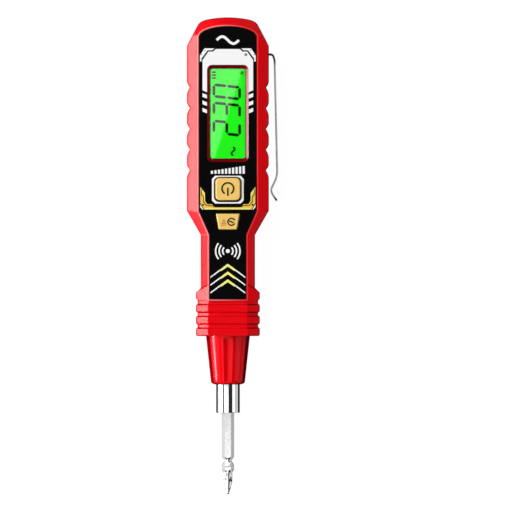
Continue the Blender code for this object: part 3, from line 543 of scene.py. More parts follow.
def eased(points, reaches, steps=4):
    """An open path of points of any dimension whose inner corners are rounded over each reach."""
    path = [tuple(points[0])]
    for i in range(1, len(points) - 1):
        corner, reach = Vector(points[i]), reaches[i - 1]
        if reach <= 0:
            path.append(tuple(corner))
            continue
        back, ahead = Vector(points[i - 1]) - corner, Vector(points[i + 1]) - corner
        back *= min(reach / back.length, 0.49)
        ahead *= min(reach / ahead.length, 0.49)
        for k in range(steps + 1):
            t = k / steps
            path.append(tuple(corner + back * (1 - t) ** 2 + ahead * t**2))
    path.append(tuple(points[-1]))
    return path


def offset_outline(outline, distance):
    """The outline moved outwards by distance, for a loop that runs anticlockwise."""
    moved = []
    count = len(outline)
    for i in range(count):
        before = Vector(outline[i]) - Vector(outline[i - 1])
        after = Vector(outline[(i + 1) % count]) - Vector(outline[i])
        n1 = Vector((before.y, -before.x)).normalized()
        n2 = Vector((after.y, -after.x)).normalized()
        moved.append(tuple(Vector(outline[i]) + (n1 + n2) / (1.0 + n1.dot(n2)) * distance))
    return moved


def rounded_rectangle(width, height, radius, centre=(0.0, 0.0), steps=8):
    outline = []
    for sx, sy, start in ((1, 1, 0), (-1, 1, 90), (-1, -1, 180), (1, -1, 270)):
        cx = centre[0] + sx * (width / 2 - radius)
        cy = centre[1] + sy * (height / 2 - radius)
        for k in range(steps + 1):
            angle = math.radians(start + 90 * k / steps)
            outline.append((cx + radius * math.cos(angle), cy + radius * math.sin(angle)))
    return outline


def stepped_prism(name, levels):
    """A solid over outlines with equal point counts, given as (outline, z) from low to high."""
    return new_mesh(name, *skin([[(x, y, z) for x, y in outline] for outline, z in levels]))


def prism(name, outline, z_low, z_high):
    return stepped_prism(name, [(outline, z_low), (outline, z_high)])


def box(name, xs, ys, zs):
    return prism(name, [(xs[0], ys[0]), (xs[1], ys[0]), (xs[1], ys[1]), (xs[0], ys[1])], *zs)


def circle(centre, radius, segments=24):
    turn = [2 * math.pi * k / segments for k in range(segments)]
    return [(centre[0] + radius * math.cos(a), centre[1] + radius * math.sin(a)) for a in turn]


def post(name, centre, radius, z_low, z_high, segments=32):
    return prism(name, circle(centre, radius, segments), z_low, z_high)


def turned(name, profile, radius_at=None, centre=(0.0, AXIS_Z), segments=96):
    """A solid turned about a line along y. The profile lists (radius, y); radius_at may vary it by angle."""
    loops = []
    for radius, y in profile:
        loop = []
        for k in range(segments):
            angle = 2 * math.pi * (k + 0.5) / segments
            r = radius_at(radius, y, angle) if radius_at else radius
            loop.append((centre[0] + r * math.cos(angle), y, centre[1] + r * math.sin(angle)))
        loops.append(loop)
    return new_mesh(name, *skin(loops))


# Case outline --------------------------------------------------------------------------------------


def evenly(points, count):
    """count + 1 points evenly spaced along a polyline."""
    lengths = [0.0]
    for a, b in zip(points, points[1:]):
        lengths.append(lengths[-1] + math.dist(a, b))
    spaced = []
    for k in range(count + 1):
        target = lengths[-1] * k / count
        i = 1
        while i < len(points) - 1 and lengths[i] < target:
            i += 1
        t = (target - lengths[i - 1]) / (lengths[i] - lengths[i - 1])
        spaced.append(tuple(Vector(points[i - 1]).lerp(Vector(points[i]), t)))
    return spaced


def tail_edge(y_end, steps=24):
    """The outline's tail from the centre line round to the straight corner, down to y_end."""
    edge = []
    for k in range(steps + 1):
        x = TAIL_ARC_HALF * k / steps
        edge.append((x, TAIL_Y - TAIL_ARC_RADIUS + math.sqrt(TAIL_ARC_RADIUS**2 - x**2)))
    start, corner, elbow = Vector(edge[-1]), Vector(TAIL_CORNER), Vector(TAIL_ELBOW)
    for k in range(1, 8):
        t = k / 8
        edge.append(tuple(start * (1 - t) ** 2 + elbow * 2 * t * (1 - t) + corner * t**2))
    edge.append(TAIL_CORNER)
    slope = (BODY_HALF - TAIL_CORNER[0]) / (TAIL_CORNER[1] - BODY_TOP_Y)
    edge.append((TAIL_CORNER[0] + slope * (TAIL_CORNER[1] - y_end), y_end))
    return edge


def arch(half, rise, count=48):
    quarter = [math.pi / 2 * (1 - k / count) for k in range(count + 1)]
    return [(half * math.cos(a), LABEL_ARCH_Y + rise * math.sin(a)) for a in quarter]


def case_stations(notched):
    """Matched right-hand stations (outer x, y, label edge x, y, facet slope) from tail to case end.

    The notched set is the fine outer surface and ends with the x, y of the back's flat; the plain set,
    with sharp corners, is for the inside.
    """
    tail_steps = 26 if notched else 8
    outer_tail = evenly(tail_edge(LABEL_ARCH_Y), tail_steps)
    label_tail = evenly(arch(LABEL_HALF, LABEL_ARCH_RISE), tail_steps)
    stations = [(*o, *e, BODY_SLOPE) for o, e in zip(outer_tail, label_tail)]
    reaches = [0.0] * (len(stations) - 1)
    stations.append((BODY_HALF, BODY_TOP_Y, LABEL_HALF, BODY_TOP_Y, BODY_SLOPE))
    reaches.append(0.8)
    if notched:
        steps = 9
        for n in range(NOTCH_COUNT):
            for k in range(-steps, steps + 1):
                u = -k / steps
                x = BODY_HALF - NOTCH_DEPTH * (1.0 - math.sin(math.pi / 2 * abs(u)))
                y = NOTCH_FIRST_Y - n * NOTCH_PITCH + u * NOTCH_REACH[0 if u > 0 else 1]
                stations.append((x, y, LABEL_HALF, y, BODY_SLOPE))
                reaches.append(0.0)
    else:
        narrow = BODY_HALF - NOTCH_DEPTH
        for x, y in ((BODY_HALF, 50.5), (narrow, 49.5), (narrow, 8.5), (BODY_HALF, 7.5)):
            stations.append((x, y, LABEL_HALF, y, BODY_SLOPE))
            reaches.append(0.0)
    stations.append((BODY_HALF, SHOULDER_Y, LABEL_HALF, LABEL_SHOULDER_Y, BODY_SLOPE))
    stations.append((NECK_HALF, NECK_Y, LABEL_NECK_HALF, LABEL_NECK_Y, NECK_SLOPE))
    stations.append((NECK_HALF, FLARE_Y, LABEL_NECK_HALF, FLARE_RIDGE_Y[0], FLARE_SLOPE))
    stations.append((RIB_HALF, RIB_Y, LABEL_NECK_HALF, FLARE_RIDGE_Y[1], BODY_SLOPE))
    reaches += [0.6, 0.6, 0.2, 0.4]
    if notched:
        stations.append((RIB_HALF, CASE_END_Y + 0.5, LABEL_NECK_HALF, LABEL_END_Y + 0.5, BODY_SLOPE))
        stations.append((RIB_HALF - 0.45, CASE_END_Y, LABEL_NECK_HALF, LABEL_END_Y, BODY_SLOPE))
        reaches.append(0.25)
        return eased([(*s, *f) for s, f in zip(stations, back_flat(stations))], reaches, steps=3)
    stations.append((RIB_HALF, CASE_END_Y, LABEL_NECK_HALF, LABEL_END_Y, BODY_SLOPE))
    return stations


def mirrored(half):
    return [half[0]] + [(-x, y) for x, y in half[1:]] + list(reversed(half[1:]))


def moved_half(half, distance):
    """Right-hand points moved outwards, with the same count and order."""
    full = offset_outline(mirrored(half), distance)
    right = [full[0]] + list(reversed(full[len(half):]))
    right[0] = (0.0, right[0][1])
    return right


def eased_rings(rings, reaches, steps=3):
    """Rings with the ridge at each inner ring rounded over its reach."""
    columns = [eased([ring[i] for ring in rings], reaches, steps) for i in range(len(rings[0]))]
    return [[column[k] for column in columns] for k in range(len(columns[0]))]


def case_solid(name, rings):
    """A solid over rings of right-hand (x, y, z) points, mirrored, with strips across both ends."""
    count = len(rings[0])
    size = 2 * count - 1
    points = []
    for ring in rings:
        points += [ring[0]] + [(-x, y, z) for x, y, z in ring[1:]] + list(reversed(ring[1:]))
    faces = [face for k in range(len(rings) - 1) for face in wall(k * size, size)]
    for base in (0, (len(rings) - 1) * size):
        left = [base + i for i in range(count)]
        right = [base] + [base + size - i for i in range(1, count)]
        faces.append((left[0], left[1], right[1]))
        for i in range(1, count - 1):
            faces.append((right[i], left[i], left[i + 1], right[i + 1]))
    return new_mesh(name, points, faces)


def back_height(y):
    """Height of the pen's back above its resting plane."""
    if y >= SHOULDER_Y:
        return 0.0
    if y >= NECK_Y:
        return NECK_BACK_Z * (SHOULDER_Y - y) / (SHOULDER_Y - NECK_Y)
    if y >= FLARE_Y:
        return NECK_BACK_Z
    if y >= RIB_Y:
        return NECK_BACK_Z + (RIB_BACK_Z - NECK_BACK_Z) * (FLARE_Y - y) / (FLARE_Y - RIB_Y)
    return RIB_BACK_Z


def facet_reach(x, y, edge_x, edge_y, turn_y):
    return math.dist((x, y), (edge_x, edge_y)) if y > turn_y else x - edge_x


def front_case_rings():
    stations = case_stations(notched=True)
    outer = [s[:2] for s in stations]
    label = [s[2:4] for s in stations]
    recess = moved_half(label, RECESS_MARGIN)
    rim = moved_half(label, RECESS_MARGIN + RIM_WIDTH)
    shoulder = []
    for (x, y), (rx, ry), station in zip(outer, rim, stations):
        shoulder.append((x, y, FRONT_Z - station[4] * facet_reach(x, y, rx, ry, LABEL_ARCH_Y)))
    rings = [
        [(x, y, AXIS_Z + GAP / 2) for x, y in outer],
        shoulder,
        [(x, y, FRONT_Z) for x, y in rim],
        [(x, y, FRONT_Z) for x, y in recess],
        [(x, y, RECESS_Z) for x, y in recess],
    ]
    return eased_rings(rings, (0.7, 0.07, 0.06), steps=5)


def front_cavity_rings():
    stations = case_stations(notched=False)
    outer = moved_half([s[:2] for s in stations], -WALL)
    ceiling = [(x, max(y, CASE_END_Y + WALL)) for x, y in moved_half([s[2:4] for s in stations], 0.1)]
    bend = []
    for (x, y), (cx, cy), station in zip(outer, ceiling, stations):
        bend.append((x, y, CEILING_Z - station[4] * facet_reach(x, y, cx, cy, LABEL_ARCH_Y)))
    return [
        [(x, y, AXIS_Z - 1.0) for x, y in outer],
        bend,
        [(x, y, CEILING_Z) for x, y in ceiling],
    ]


def back_flat(stations):
    """The edge of the flat back inside the chamfer, which runs straight past the notches."""
    first = NOTCH_FIRST_Y + NOTCH_REACH[0] + 0.1
    last = NOTCH_FIRST_Y - (NOTCH_COUNT - 1) * NOTCH_PITCH - NOTCH_REACH[1] - 0.1
    steady = [(BODY_HALF if first > s[1] > last else s[0], s[1]) for s in stations]
    flat = moved_half(steady, -BACK_CHAMFER)
    flat[-1] = (flat[-1][0], CASE_END_Y + 0.6)
    return flat


def back_case_rings():
    stations = case_stations(notched=True)
    outer = [s[:2] for s in stations]
    flat = [s[5:] for s in stations]
    edge = []
    for (x, y), (fx, fy) in zip(outer, flat):
        reach = facet_reach(x, y, fx, fy, BODY_TOP_Y)
        edge.append((x, y, back_height(fy) + BACK_SLOPE * max(reach, 0.3)))
    rings = [
        [(x, y, back_height(y)) for x, y in flat],
        edge,
        [(x, y, AXIS_Z - GAP / 2) for x, y in outer],
    ]
    return eased_rings(rings, (0.35,))


def back_cavity_rings():
    outer = moved_half([s[:2] for s in case_stations(notched=False)], -WALL)
    flat = moved_half(outer, GAP - BACK_CHAMFER)
    bend = [(x, y, back_height(fy) + WALL + BACK_SLOPE * 2.55) for (x, y), (fx, fy) in zip(outer, flat)]
    return [
        [(x, y, back_height(y) + WALL) for x, y in flat],
        bend,
        [(x, y, AXIS_Z + 1.0) for x, y in outer],
    ]


def half_round(name, radius, ys, up):
    """Half of a turned bar along the pen's axis, on the front (up=1) or back (up=-1) of the split."""
    turn = [math.pi * k / 32 for k in range(33)]
    outline = [(radius * math.cos(a), AXIS_Z + up * (GAP / 2 + radius * math.sin(a))) for a in turn]
    return new_mesh(name, *skin([[(x, y, z) for x, z in outline] for y in ys]))


def bar(name, radius, ys):
    return turned(name, [(radius, y) for y in ys], segments=64)


def collar_corners(inset):
    """The chamfered section across the ribs, as (x, z), pulled in by inset."""
    half, front, back = COLLAR_HALF, COLLAR_FACE_HALF, COLLAR_FLAT_HALF
    rise, fall = (half - front) * BODY_SLOPE, half - back
    corners = [
        (half, FRONT_Z - rise), (front, FRONT_Z), (-front, FRONT_Z), (-half, FRONT_Z - rise),
        (-half, COLLAR_BACK_Z + fall), (-back, COLLAR_BACK_Z),
        (back, COLLAR_BACK_Z), (half, COLLAR_BACK_Z + fall),
    ]
    return offset_outline(corners, -inset)


def half_lip(name, up):
    """Half of the case's end lip, which stands in the collar's recess and closes the seam between them."""
    section = collar_corners(LIP_INSET)
    split = AXIS_Z + up * GAP / 2
    kept = section[:4] if up > 0 else section[4:]
    outline = kept + [(kept[-1][0], split), (kept[0][0], split)]
    return new_mesh(name, *skin([[(x, y, z) for x, z in outline] for y in (LIP_END_Y, CASE_END_Y + 1.0)]))


def clip_slot(name):
    return box(name, (12.9, 17.0), (CLIP_ROOT[1] - 0.8, CLIP_ROOT[1] + 0.8), (CLIP_Z[0] - 0.4, CLIP_Z[1] + 0.4))


def display_outline(size, radius, margin=0.0):
    """A rounded rectangle round the middle of the display, grown by margin on every side."""
    return rounded_rectangle(size[0] + 2 * margin, size[1] + 2 * margin, radius, (0.0, DISPLAY_Y))


def mode_outline(margin=0.0, reach=0.5):
    """The trapezoid key's outline moved out by margin, with rounded corners."""
    low, high = MODE_Y
    corners = [(MODE_HALF[0], low), (MODE_HALF[1], high), (-MODE_HALF[1], high), (-MODE_HALF[0], low)]
    moved = offset_outline(corners, margin)
    return eased(moved + moved[:2], [max(0.15, reach + margin)] * 4, steps=6)[1:-1]


def power_outline(margin=0.0):
    width, height = POWER_SIZE
    return rounded_rectangle(width + 2 * margin, height + 2 * margin, POWER_RADIUS + margin, (0.0, POWER_Y))


def make_front_case():
    shell = case_solid("front_case", front_case_rings())
    carve(shell, cuts=[case_solid("front_cavity", front_cavity_rings())])
    bosses = [post(f"front_boss_{k}", spot, BOSS_RADIUS, AXIS_Z + GAP / 2, CEILING_Z + 0.5)
              for k, spot in SCREWS.items()]
    spigot = half_round("front_spigot", SPIGOT_RADIUS, (SPIGOT_Y, CASE_END_Y + 1.0), 1)
    carve(shell, joins=[spigot, half_lip("front_lip", 1), *bosses])
    outer, inner = display_outline(DISPLAY_CUT, DISPLAY_CUT_RADIUS), display_outline(WINDOW, WINDOW_RADIUS)
    levels = [(inner, CEILING_Z - 1.0), (inner, WINDOW_Z), (outer, RECESS_Z), (outer, FRONT_Z + 1.0)]
    pilots = [post(f"front_pilot_{k}", spot, SCREW_HOLE_RADIUS, AXIS_Z - 1.0, SCREW_PILOT_Z)
              for k, spot in SCREWS.items()]
    carve(shell, cuts=[
        bar("front_bore", SPIGOT_BORE, SPIGOT_BORE_Y),
        stepped_prism("display_cut", levels),
        prism("power_cut", power_outline(GAP), CEILING_Z - 1.0, FRONT_Z + 1.0),
        prism("mode_cut", mode_outline(GAP), CEILING_Z - 1.0, FRONT_Z + 1.0),
        clip_slot("front_clip_slot"),
        *pilots,
    ])
    finish_piece(shell, "front", "case", ("front_shell",), sharp=24)


def make_rear_case():
    shell = case_solid("rear_case", back_case_rings())
    carve(shell, cuts=[case_solid("back_cavity", back_cavity_rings())])
    bay_half = BAY_HALF + BAY_WALL
    bosses = [post(f"back_boss_{k}", spot, BOSS_RADIUS, 1.0, AXIS_Z - GAP / 2) for k, spot in SCREWS.items()]
    carve(shell, joins=[
        half_round("back_spigot", SPIGOT_RADIUS, (SPIGOT_Y, CASE_END_Y + 1.0), -1),
        half_lip("back_lip", -1),
        box("bay_walls", (-bay_half, bay_half), (2.9, BAY_Y[1] + BAY_WALL), (1.0, BAY_TOP_Z + BAY_WALL)),
        box("door_ledge", (-bay_half, bay_half), (BAY_Y[1], 59.6), (1.0, 3.5)),
        post("door_boss", (0.0, DOOR_SCREW_Y), BOSS_RADIUS, 3.0, 8.0),
        *bosses,
    ])
    door_half = DOOR_HALF + GAP
    tools = [
        bar("back_bore", SPIGOT_BORE, SPIGOT_BORE_Y),
        box("bay_room", (-BAY_HALF, BAY_HALF), BAY_Y, (-1.0, BAY_TOP_Z)),
        box("door_recess", (-door_half, door_half), (DOOR_Y[0] - GAP, DOOR_Y[1] + GAP), (-1.0, 1.9)),
        post("door_pilot", (0.0, DOOR_SCREW_Y), SCREW_HOLE_RADIUS, 1.0, 7.0),
        clip_slot("back_clip_slot"),
    ]
    for name, spot in SCREWS.items():
        tools.append(post(f"back_head_{name}", spot, SCREW_WELL_RADIUS, -1.0, SCREW_WELL_Z))
        tools.append(post(f"back_hole_{name}", spot, SCREW_HOLE_RADIUS, 1.0, AXIS_Z + 1.0))
    carve(shell, cuts=tools)
    finish_piece(shell, "case", "case", ("rear_shell",), sharp=24)


# Collar, nose, socket and bit ----------------------------------------------------------------------


def collar_profile():
    """(y, inset) from the nose end to the case end, with one flat-floored groove per pitch."""
    corners = [(COLLAR_Y[0], 0.45), (COLLAR_Y[0] + 0.4, 0.0)]
    for n in (2, 1, 0):
        middle = GROOVE_FIRST_Y - n * GROOVE_PITCH
        corners += [(middle - GROOVE_HALF, 0.0), (middle - GROOVE_FLOOR_HALF, GROOVE_DEPTH)]
        corners += [(middle + GROOVE_FLOOR_HALF, GROOVE_DEPTH), (middle + GROOVE_HALF, 0.0)]
    rising = (corners[-1][0] - COLLAR_Y[1]) / (GROOVE_HALF - GROOVE_FLOOR_HALF)
    corners[-1] = (COLLAR_Y[1] + COLLAR_REACH, GROOVE_DEPTH * rising)
    return eased(corners, [0.15] * (len(corners) - 2), steps=3)


def collar_section(inset):
    corners = collar_corners(inset)
    return eased(corners + corners[:2], [0.2, 0.2, 0.7, 0.7, 0.2, 0.2, 0.7, 0.7], steps=5)[1:-1]


def make_collar():
    loops = [[(x, y, z) for x, z in collar_section(inset)] for y, inset in collar_profile()]
    collar = new_mesh("collar", *skin(loops))
    recess = [[(x, y, z) for x, z in collar_corners(LIP_INSET - GAP)] for y in (LIP_END_Y - GAP, -35.0)]
    carve(collar, cuts=[
        bar("collar_bore", SPIGOT_RADIUS + GAP, (-47.2, -35.0)),
        bar("collar_mouth", NOSE_RADIUS[1] + GAP, (-50.0, -46.0)),
        new_mesh("collar_recess", *skin(recess)),
    ])
    finish_piece(collar, "collar", "case", ("grip_collar",), sharp=35)


def fluted(radius, y, angle):
    """The nose's radius: broad round lands with a shallow channel between each two, fading at both ends."""
    pitch = 360.0 / FLUTE_COUNT
    offset = (math.degrees(angle) - FLUTE_MIDDLE + pitch / 2) % pitch - pitch / 2
    hollow = math.cos(math.pi * offset / FLUTE_SPAN) if abs(offset) < FLUTE_SPAN / 2 else 0.0
    fade = max(0.0, min(1.0, (NOSE_TAPER_Y + 0.2 - y) / 0.8, (y - NOSE_Y[0] - 0.3) / 1.2))
    return radius * (1.0 - FLUTE_DEPTH * hollow * fade)


def make_nose():
    low = NOSE_Y[0]
    profile = [(SOCKET_RADIUS + 0.35, low), (5.6, low + 0.22), (6.05, low + 0.5), (NOSE_RADIUS[0], low + 0.9)]
    for k in range(1, 19):
        t = k / 18
        y = low + 0.9 + (NOSE_TAPER_Y - low - 0.9) * t
        profile.append((NOSE_RADIUS[0] + (NOSE_RADIUS[1] - NOSE_RADIUS[0]) * t, y))
    profile += [(NOSE_RADIUS[1], NOSE_FRONT_Y + 0.05), (SPIGOT_RADIUS, NOSE_FRONT_Y + 0.06),
                (SPIGOT_RADIUS, NOSE_Y[1])]
    nose = turned("nose", profile, fluted, segments=216)
    carve(nose, cuts=[bar("nose_bore", SOCKET_RADIUS + 0.2, (-70.0, -40.0))])
    finish_piece(nose, "nose", "case", ("nose_cone",), sharp=40)


def section(radius_at, y, points):
    """A loop round the pen's axis whose radius depends on the angle."""
    turn = [2 * math.pi * k / points for k in range(points)]
    return [(radius_at(a) * math.cos(a), y, AXIS_Z + radius_at(a) * math.sin(a)) for a in turn]


def hex_radius(flats, corner=1.152):
    """A hexagon with a flat towards +Z, its corners rounded off at corner times half the width over flats."""
    def radius_at(a):
        return min(flats / 2 / math.cos(a % (math.pi / 3) - math.pi / 6), flats / 2 * corner)
    return radius_at


def make_socket():
    low, high = SOCKET_Y
    flange = SPIGOT_Y + GAP / 2
    profile = [
        (3.2, low), (SOCKET_RADIUS - 0.3, low), (SOCKET_RADIUS - 0.12, low + 0.06), (SOCKET_RADIUS, low + 0.3),
        (SOCKET_RADIUS, flange), (6.3, flange + 0.01), (6.3, flange + 1.45), (SOCKET_RADIUS, flange + 1.46),
        (SOCKET_RADIUS, high),
    ]
    bore = hex_radius(BIT_BORE_FLATS, corner=2.0)
    socket = turned("socket_sleeve", profile)
    carve(socket, cuts=[
        new_mesh("hex_bore", *skin([section(bore, y, 48) for y in (low - 1.0, -38.0)])),
        bar("magnet_pocket", 3.1, (-38.4, high + 1.0)),
    ])
    finish_piece(socket, "chrome", "case", ("bit_socket",), sharp=35)


def round_radius(radius):
    return lambda a: radius


def cross_radius(radius, web):
    """A cross of two bars of half-thickness web, its inner corners filleted."""
    def radius_at(a):
        s, c = abs(math.sin(a)), abs(math.cos(a))
        first = min(radius, web / max(s, 1e-6))
        second = min(radius, web / max(c, 1e-6))
        blend = 7.0
        return min(radius, (first**blend + second**blend) ** (1 / blend))
    return radius_at


def blade_radius(width, thickness):
    def radius_at(a):
        return min(width / 2 / max(abs(math.cos(a)), 1e-6), thickness / 2 / max(abs(math.sin(a)), 1e-6))
    return radius_at


def mixed(first, second, t):
    return lambda a: first(a) * (1 - t) + second(a) * t


def make_bit():
    """Cross tip, hexagonal shaft with a snap groove near each end, flat blade at the hidden end."""
    tip, end = BIT_Y
    hexagonal, waist, shank = hex_radius(BIT_FLATS), round_radius(BIT_WAIST), round_radius(BIT_SHANK)
    groove = [(9.1, hexagonal), (10.8, hexagonal), (12.3, waist), (12.7, waist), (13.9, hexagonal)]
    keys = [
        (tip, cross_radius(0.25, 0.2)), (tip + 0.5, cross_radius(0.5, 0.26)),
        (tip + 2.5, cross_radius(1.05, 0.36)), (tip + 4.9, cross_radius(1.62, 0.55)),
        (tip + 6.5, cross_radius(1.64, 0.95)), (tip + 7.7, shank), (tip + 8.15, shank),
        *((tip + reach, shape) for reach, shape in groove),
        *((end - reach, shape) for reach, shape in reversed(groove)), (end - 8.0, shank),
        (end - 5.6, blade_radius(4.0, 1.7)), (end - 2.2, blade_radius(4.0, 1.0)), (end, blade_radius(4.0, 0.8)),
    ]
    stages = []
    for (y0, shape0), (y1, shape1) in zip(keys, keys[1:]):
        steps = max(1, round((y1 - y0) / 0.6)) if y1 - y0 < 4 else 1
        stages += [(y0 + (y1 - y0) * k / steps, mixed(shape0, shape1, k / steps)) for k in range(steps)]
    stages.append(keys[-1])
    bit = new_mesh("driver_bit", *skin([section(radius_at, y, 96) for y, radius_at in stages]))
    finish_piece(bit, "bit", "bit", ("screwdriver_bit",), sharp=32)


# Clip ----------------------------------------------------------------------------------------------


def ribbon(path, width):
    """The outline of a strip of even width along an open path."""
    sides = []
    for sign in (1.0, -1.0):
        side = []
        for i, point in enumerate(path):
            here = Vector(point)
            before = (here - Vector(path[i - 1])).normalized() if i else None
            after = (Vector(path[i + 1]) - here).normalized() if i < len(path) - 1 else None
            n1 = Vector((before.y, -before.x)) if before else Vector((after.y, -after.x))
            n2 = Vector((after.y, -after.x)) if after else n1
            side.append(tuple(here + (n1 + n2) / (1.0 + n1.dot(n2)) * sign * width / 2))
        sides.append(side)
    return sides[0] + list(reversed(sides[1]))


def make_clip():
    corners = [
        (12.75, 51.6), (12.75, CLIP_ROOT[1]), (16.6, CLIP_ROOT[1]), (17.3, 53.0),
        (18.3, 10.0), (15.72, 4.55), (18.1, 0.9),
    ]
    outline = ribbon(eased(corners, (0.9, 0.9, 0.9, 2.2, 1.6), steps=10), CLIP_THICKNESS)
    clip = prism("clip_strip", outline, *CLIP_Z)
    finish_piece(clip, "clip", "clip", ("pocket_clip",), sharp=40, bevel=0.12)


# Label, prints and display -------------------------------------------------------------------------


def make_label():
    half = [s[2:4] for s in case_stations(notched=False)]
    inner = moved_half(half, -0.06)
    rings = [
        [(x, y, LABEL_LOW_Z) for x, y in half],
        [(x, y, LABEL_TOP_Z - 0.06) for x, y in half],
        [(x, y, LABEL_TOP_Z) for x, y in inner],
    ]
    label = case_solid("label_film", rings)
    carve(label, cuts=[
        prism("label_display_cut", display_outline(DISPLAY_CUT, DISPLAY_CUT_RADIUS), 20.0, 23.0),
        prism("label_power_cut", power_outline(GAP), 20.0, 23.0),
        prism("label_mode_cut", mode_outline(GAP), 20.0, 23.0),
    ])
    finish_piece(label, "label", "case", ("face_label",), sharp=30)


def flipped(outline):
    return [(-x, y) for x, y in reversed(outline)]


def print_piece(name, outlines, look, body="case", z=LABEL_TOP_Z, slot="black_label", holes=None):
    """Printed shapes as thin closed films that stand just proud of the surface under them."""
    points, faces = [], []
    for outline in outlines:
        count, base = len(outline), len(points)
        for height in (z - PRINT_THICKNESS, z + PRINT_THICKNESS):
            points += [(x, y, height) for x, y in outline]
        faces += wall(base, count)
        faces.append(tuple(base + i for i in range(count)))
        faces.append(tuple(base + count + i for i in range(count)))
    piece = new_mesh(name, points, faces)
    if holes:
        carve(piece, cuts=[prism(f"{name}_hole_{k}", hole, z - 1.0, z + 1.0) for k, hole in enumerate(holes)])
    return finish_piece(piece, look, body, sharp=30)


def arc_path(centre, radius, start, end, steps=24):
    turn = [math.radians(start + (end - start) * k / steps) for k in range(steps + 1)]
    return [(centre[0] + radius * math.cos(a), centre[1] + radius * math.sin(a)) for a in turn]


def wave_path(centre, length, height, steps=32):
    """One period of a sine wave, drawn along x."""
    path = []
    for k in range(steps + 1):
        t = k / steps
        path.append((centre[0] + length * (t - 0.5), centre[1] + height / 2 * math.sin(2 * math.pi * t)))
    return path


def turned_left(outline, centre):
    """An outline turned a quarter turn anticlockwise about centre."""
    cx, cy = centre
    return [(cx - (y - cy), cy + (x - cx)) for x, y in outline]


def make_display_frame_prints():
    """White surround of the display with its corner plates and the slanted bars beside it."""
    cut_half = DISPLAY_CUT[0] / 2
    left_side = [
        (-4.45, 56.8), (-5.4, 55.85), (-7.15, 55.85), (-9.3, 52.8), (-9.35, 52.2), (-9.35, 41.6),
        (-8.1, 41.0), (-cut_half - 0.02, 40.9), (-cut_half - 0.02, 49.0),
    ]
    half = left_side + arc_path((-cut_half + 1.9, 49.05), 1.92, 180, 90, 8)
    outline = half + flipped(half)
    print_piece("print_surround", [list(reversed(outline))], "white")
    plate = [(-4.95, 57.05), (-8.6, 57.05), (-10.3, 54.4), (-10.3, 52.2), (-9.72, 52.2), (-9.72, 53.3),
             (-7.45, 56.35), (-5.75, 56.35)]
    dots = [circle((-8.4, 56.35), 0.2), circle((-9.75, 54.7), 0.2)]
    print_piece("print_corner_left", [plate], "white", holes=dots)
    print_piece("print_corner_right", [flipped(plate)], "white", holes=[flipped(d) for d in dots])
    spot = (6.65, 54.75)
    ring = {"outlines": [circle(spot, 0.5)], "holes": [circle(spot, 0.18)]}
    print_piece("print_ring_mark", look="ink_black", z=OVER_PRINT_Z, **ring)
    bars = []
    for k in range(3):
        y = 40.55 - 2.72 * k
        shape = [(-9.36, y), (-9.36, y - 1.4), (-7.72, y - 2.05), (-7.72, y - 0.7)]
        bars += [shape, flipped(shape)]
    print_piece("print_bars", bars, "white")


def make_head_mark():
    """A generic alternating-current mark above the display and a signal scale below it."""
    wave = ribbon(wave_path((0.0, 60.1), 8.2, 2.6), 0.95)
    print_piece("print_wave_mark", [wave], "white")
    bars = []
    count = 10
    for k in range(count):
        x = -5.85 + 11.7 * k / (count - 1)
        height = 1.1 + 1.75 * k / (count - 1)
        bars.append([(x - 0.4, 10.75), (x + 0.4, 10.75), (x + 0.4, 10.75 + height), (x - 0.4, 10.75 + height)])
    print_piece("print_signal_scale", bars, "white")


def make_power_prints():
    """White frame round the power key and the gold bracket that holds it."""
    cx, cy = 0.0, 4.88
    half_w, half_h, cut_corner = 5.86, 5.13, 1.15
    outer = [(half_w - cut_corner, -half_h), (half_w, -half_h + cut_corner), (half_w, half_h - cut_corner),
             (half_w - cut_corner, half_h)]
    outer += flipped(outer)
    frame_outline = [(cx + x, cy + y) for x, y in outer]
    hole = rounded_rectangle(10.3, 9.35, 2.0, (0.0, 4.95))
    print_piece("print_key_frame", [frame_outline], "white", holes=[hole])
    bracket = [
        (-10.15, 5.9), (-10.15, 0.1), (-8.75, -2.45), (0.0, -2.45), (0.0, -1.65), (-4.7, -1.65),
        (-5.8, -0.5), (-7.6, -0.5), (-8.45, 0.85), (-8.45, 3.65),
    ]
    print_piece("print_bracket_left", [bracket], "gold")
    print_piece("print_bracket_right", [flipped(bracket)], "gold")
    glow = [(-9.95, 5.3), (-9.95, 4.3), (-8.75, 3.3), (-8.75, 0.7), (-8.45, 0.85), (-8.45, 3.65)]
    lower = [(-8.6, -2.4), (-8.3, -2.0), (0.0, -2.0), (0.0, -2.4)]
    edges = [glow, lower, flipped(glow), flipped(lower)]
    print_piece("print_bracket_edges", edges, "pale_gold", z=OVER_PRINT_Z)
    seam_path = [
        (-9.75, 5.0), (-9.75, 3.0), (-9.0, 2.2), (-9.0, 0.4), (-7.9, -1.0), (-5.6, -1.0), (-5.0, -1.55),
    ]
    seam = ribbon(seam_path, 0.28)
    eye = circle((-9.15, -0.75), 0.38)
    marks = [seam, eye, flipped(seam), flipped(eye)]
    print_piece("print_bracket_seams", marks, "ink_black", z=LABEL_TOP_Z + 0.03)
    corner = [(-10.2, -0.45), (-9.05, -2.5), (-9.35, -2.5), (-10.2, -1.6)]
    print_piece("print_bracket_corners", [corner, flipped(corner)], "white")


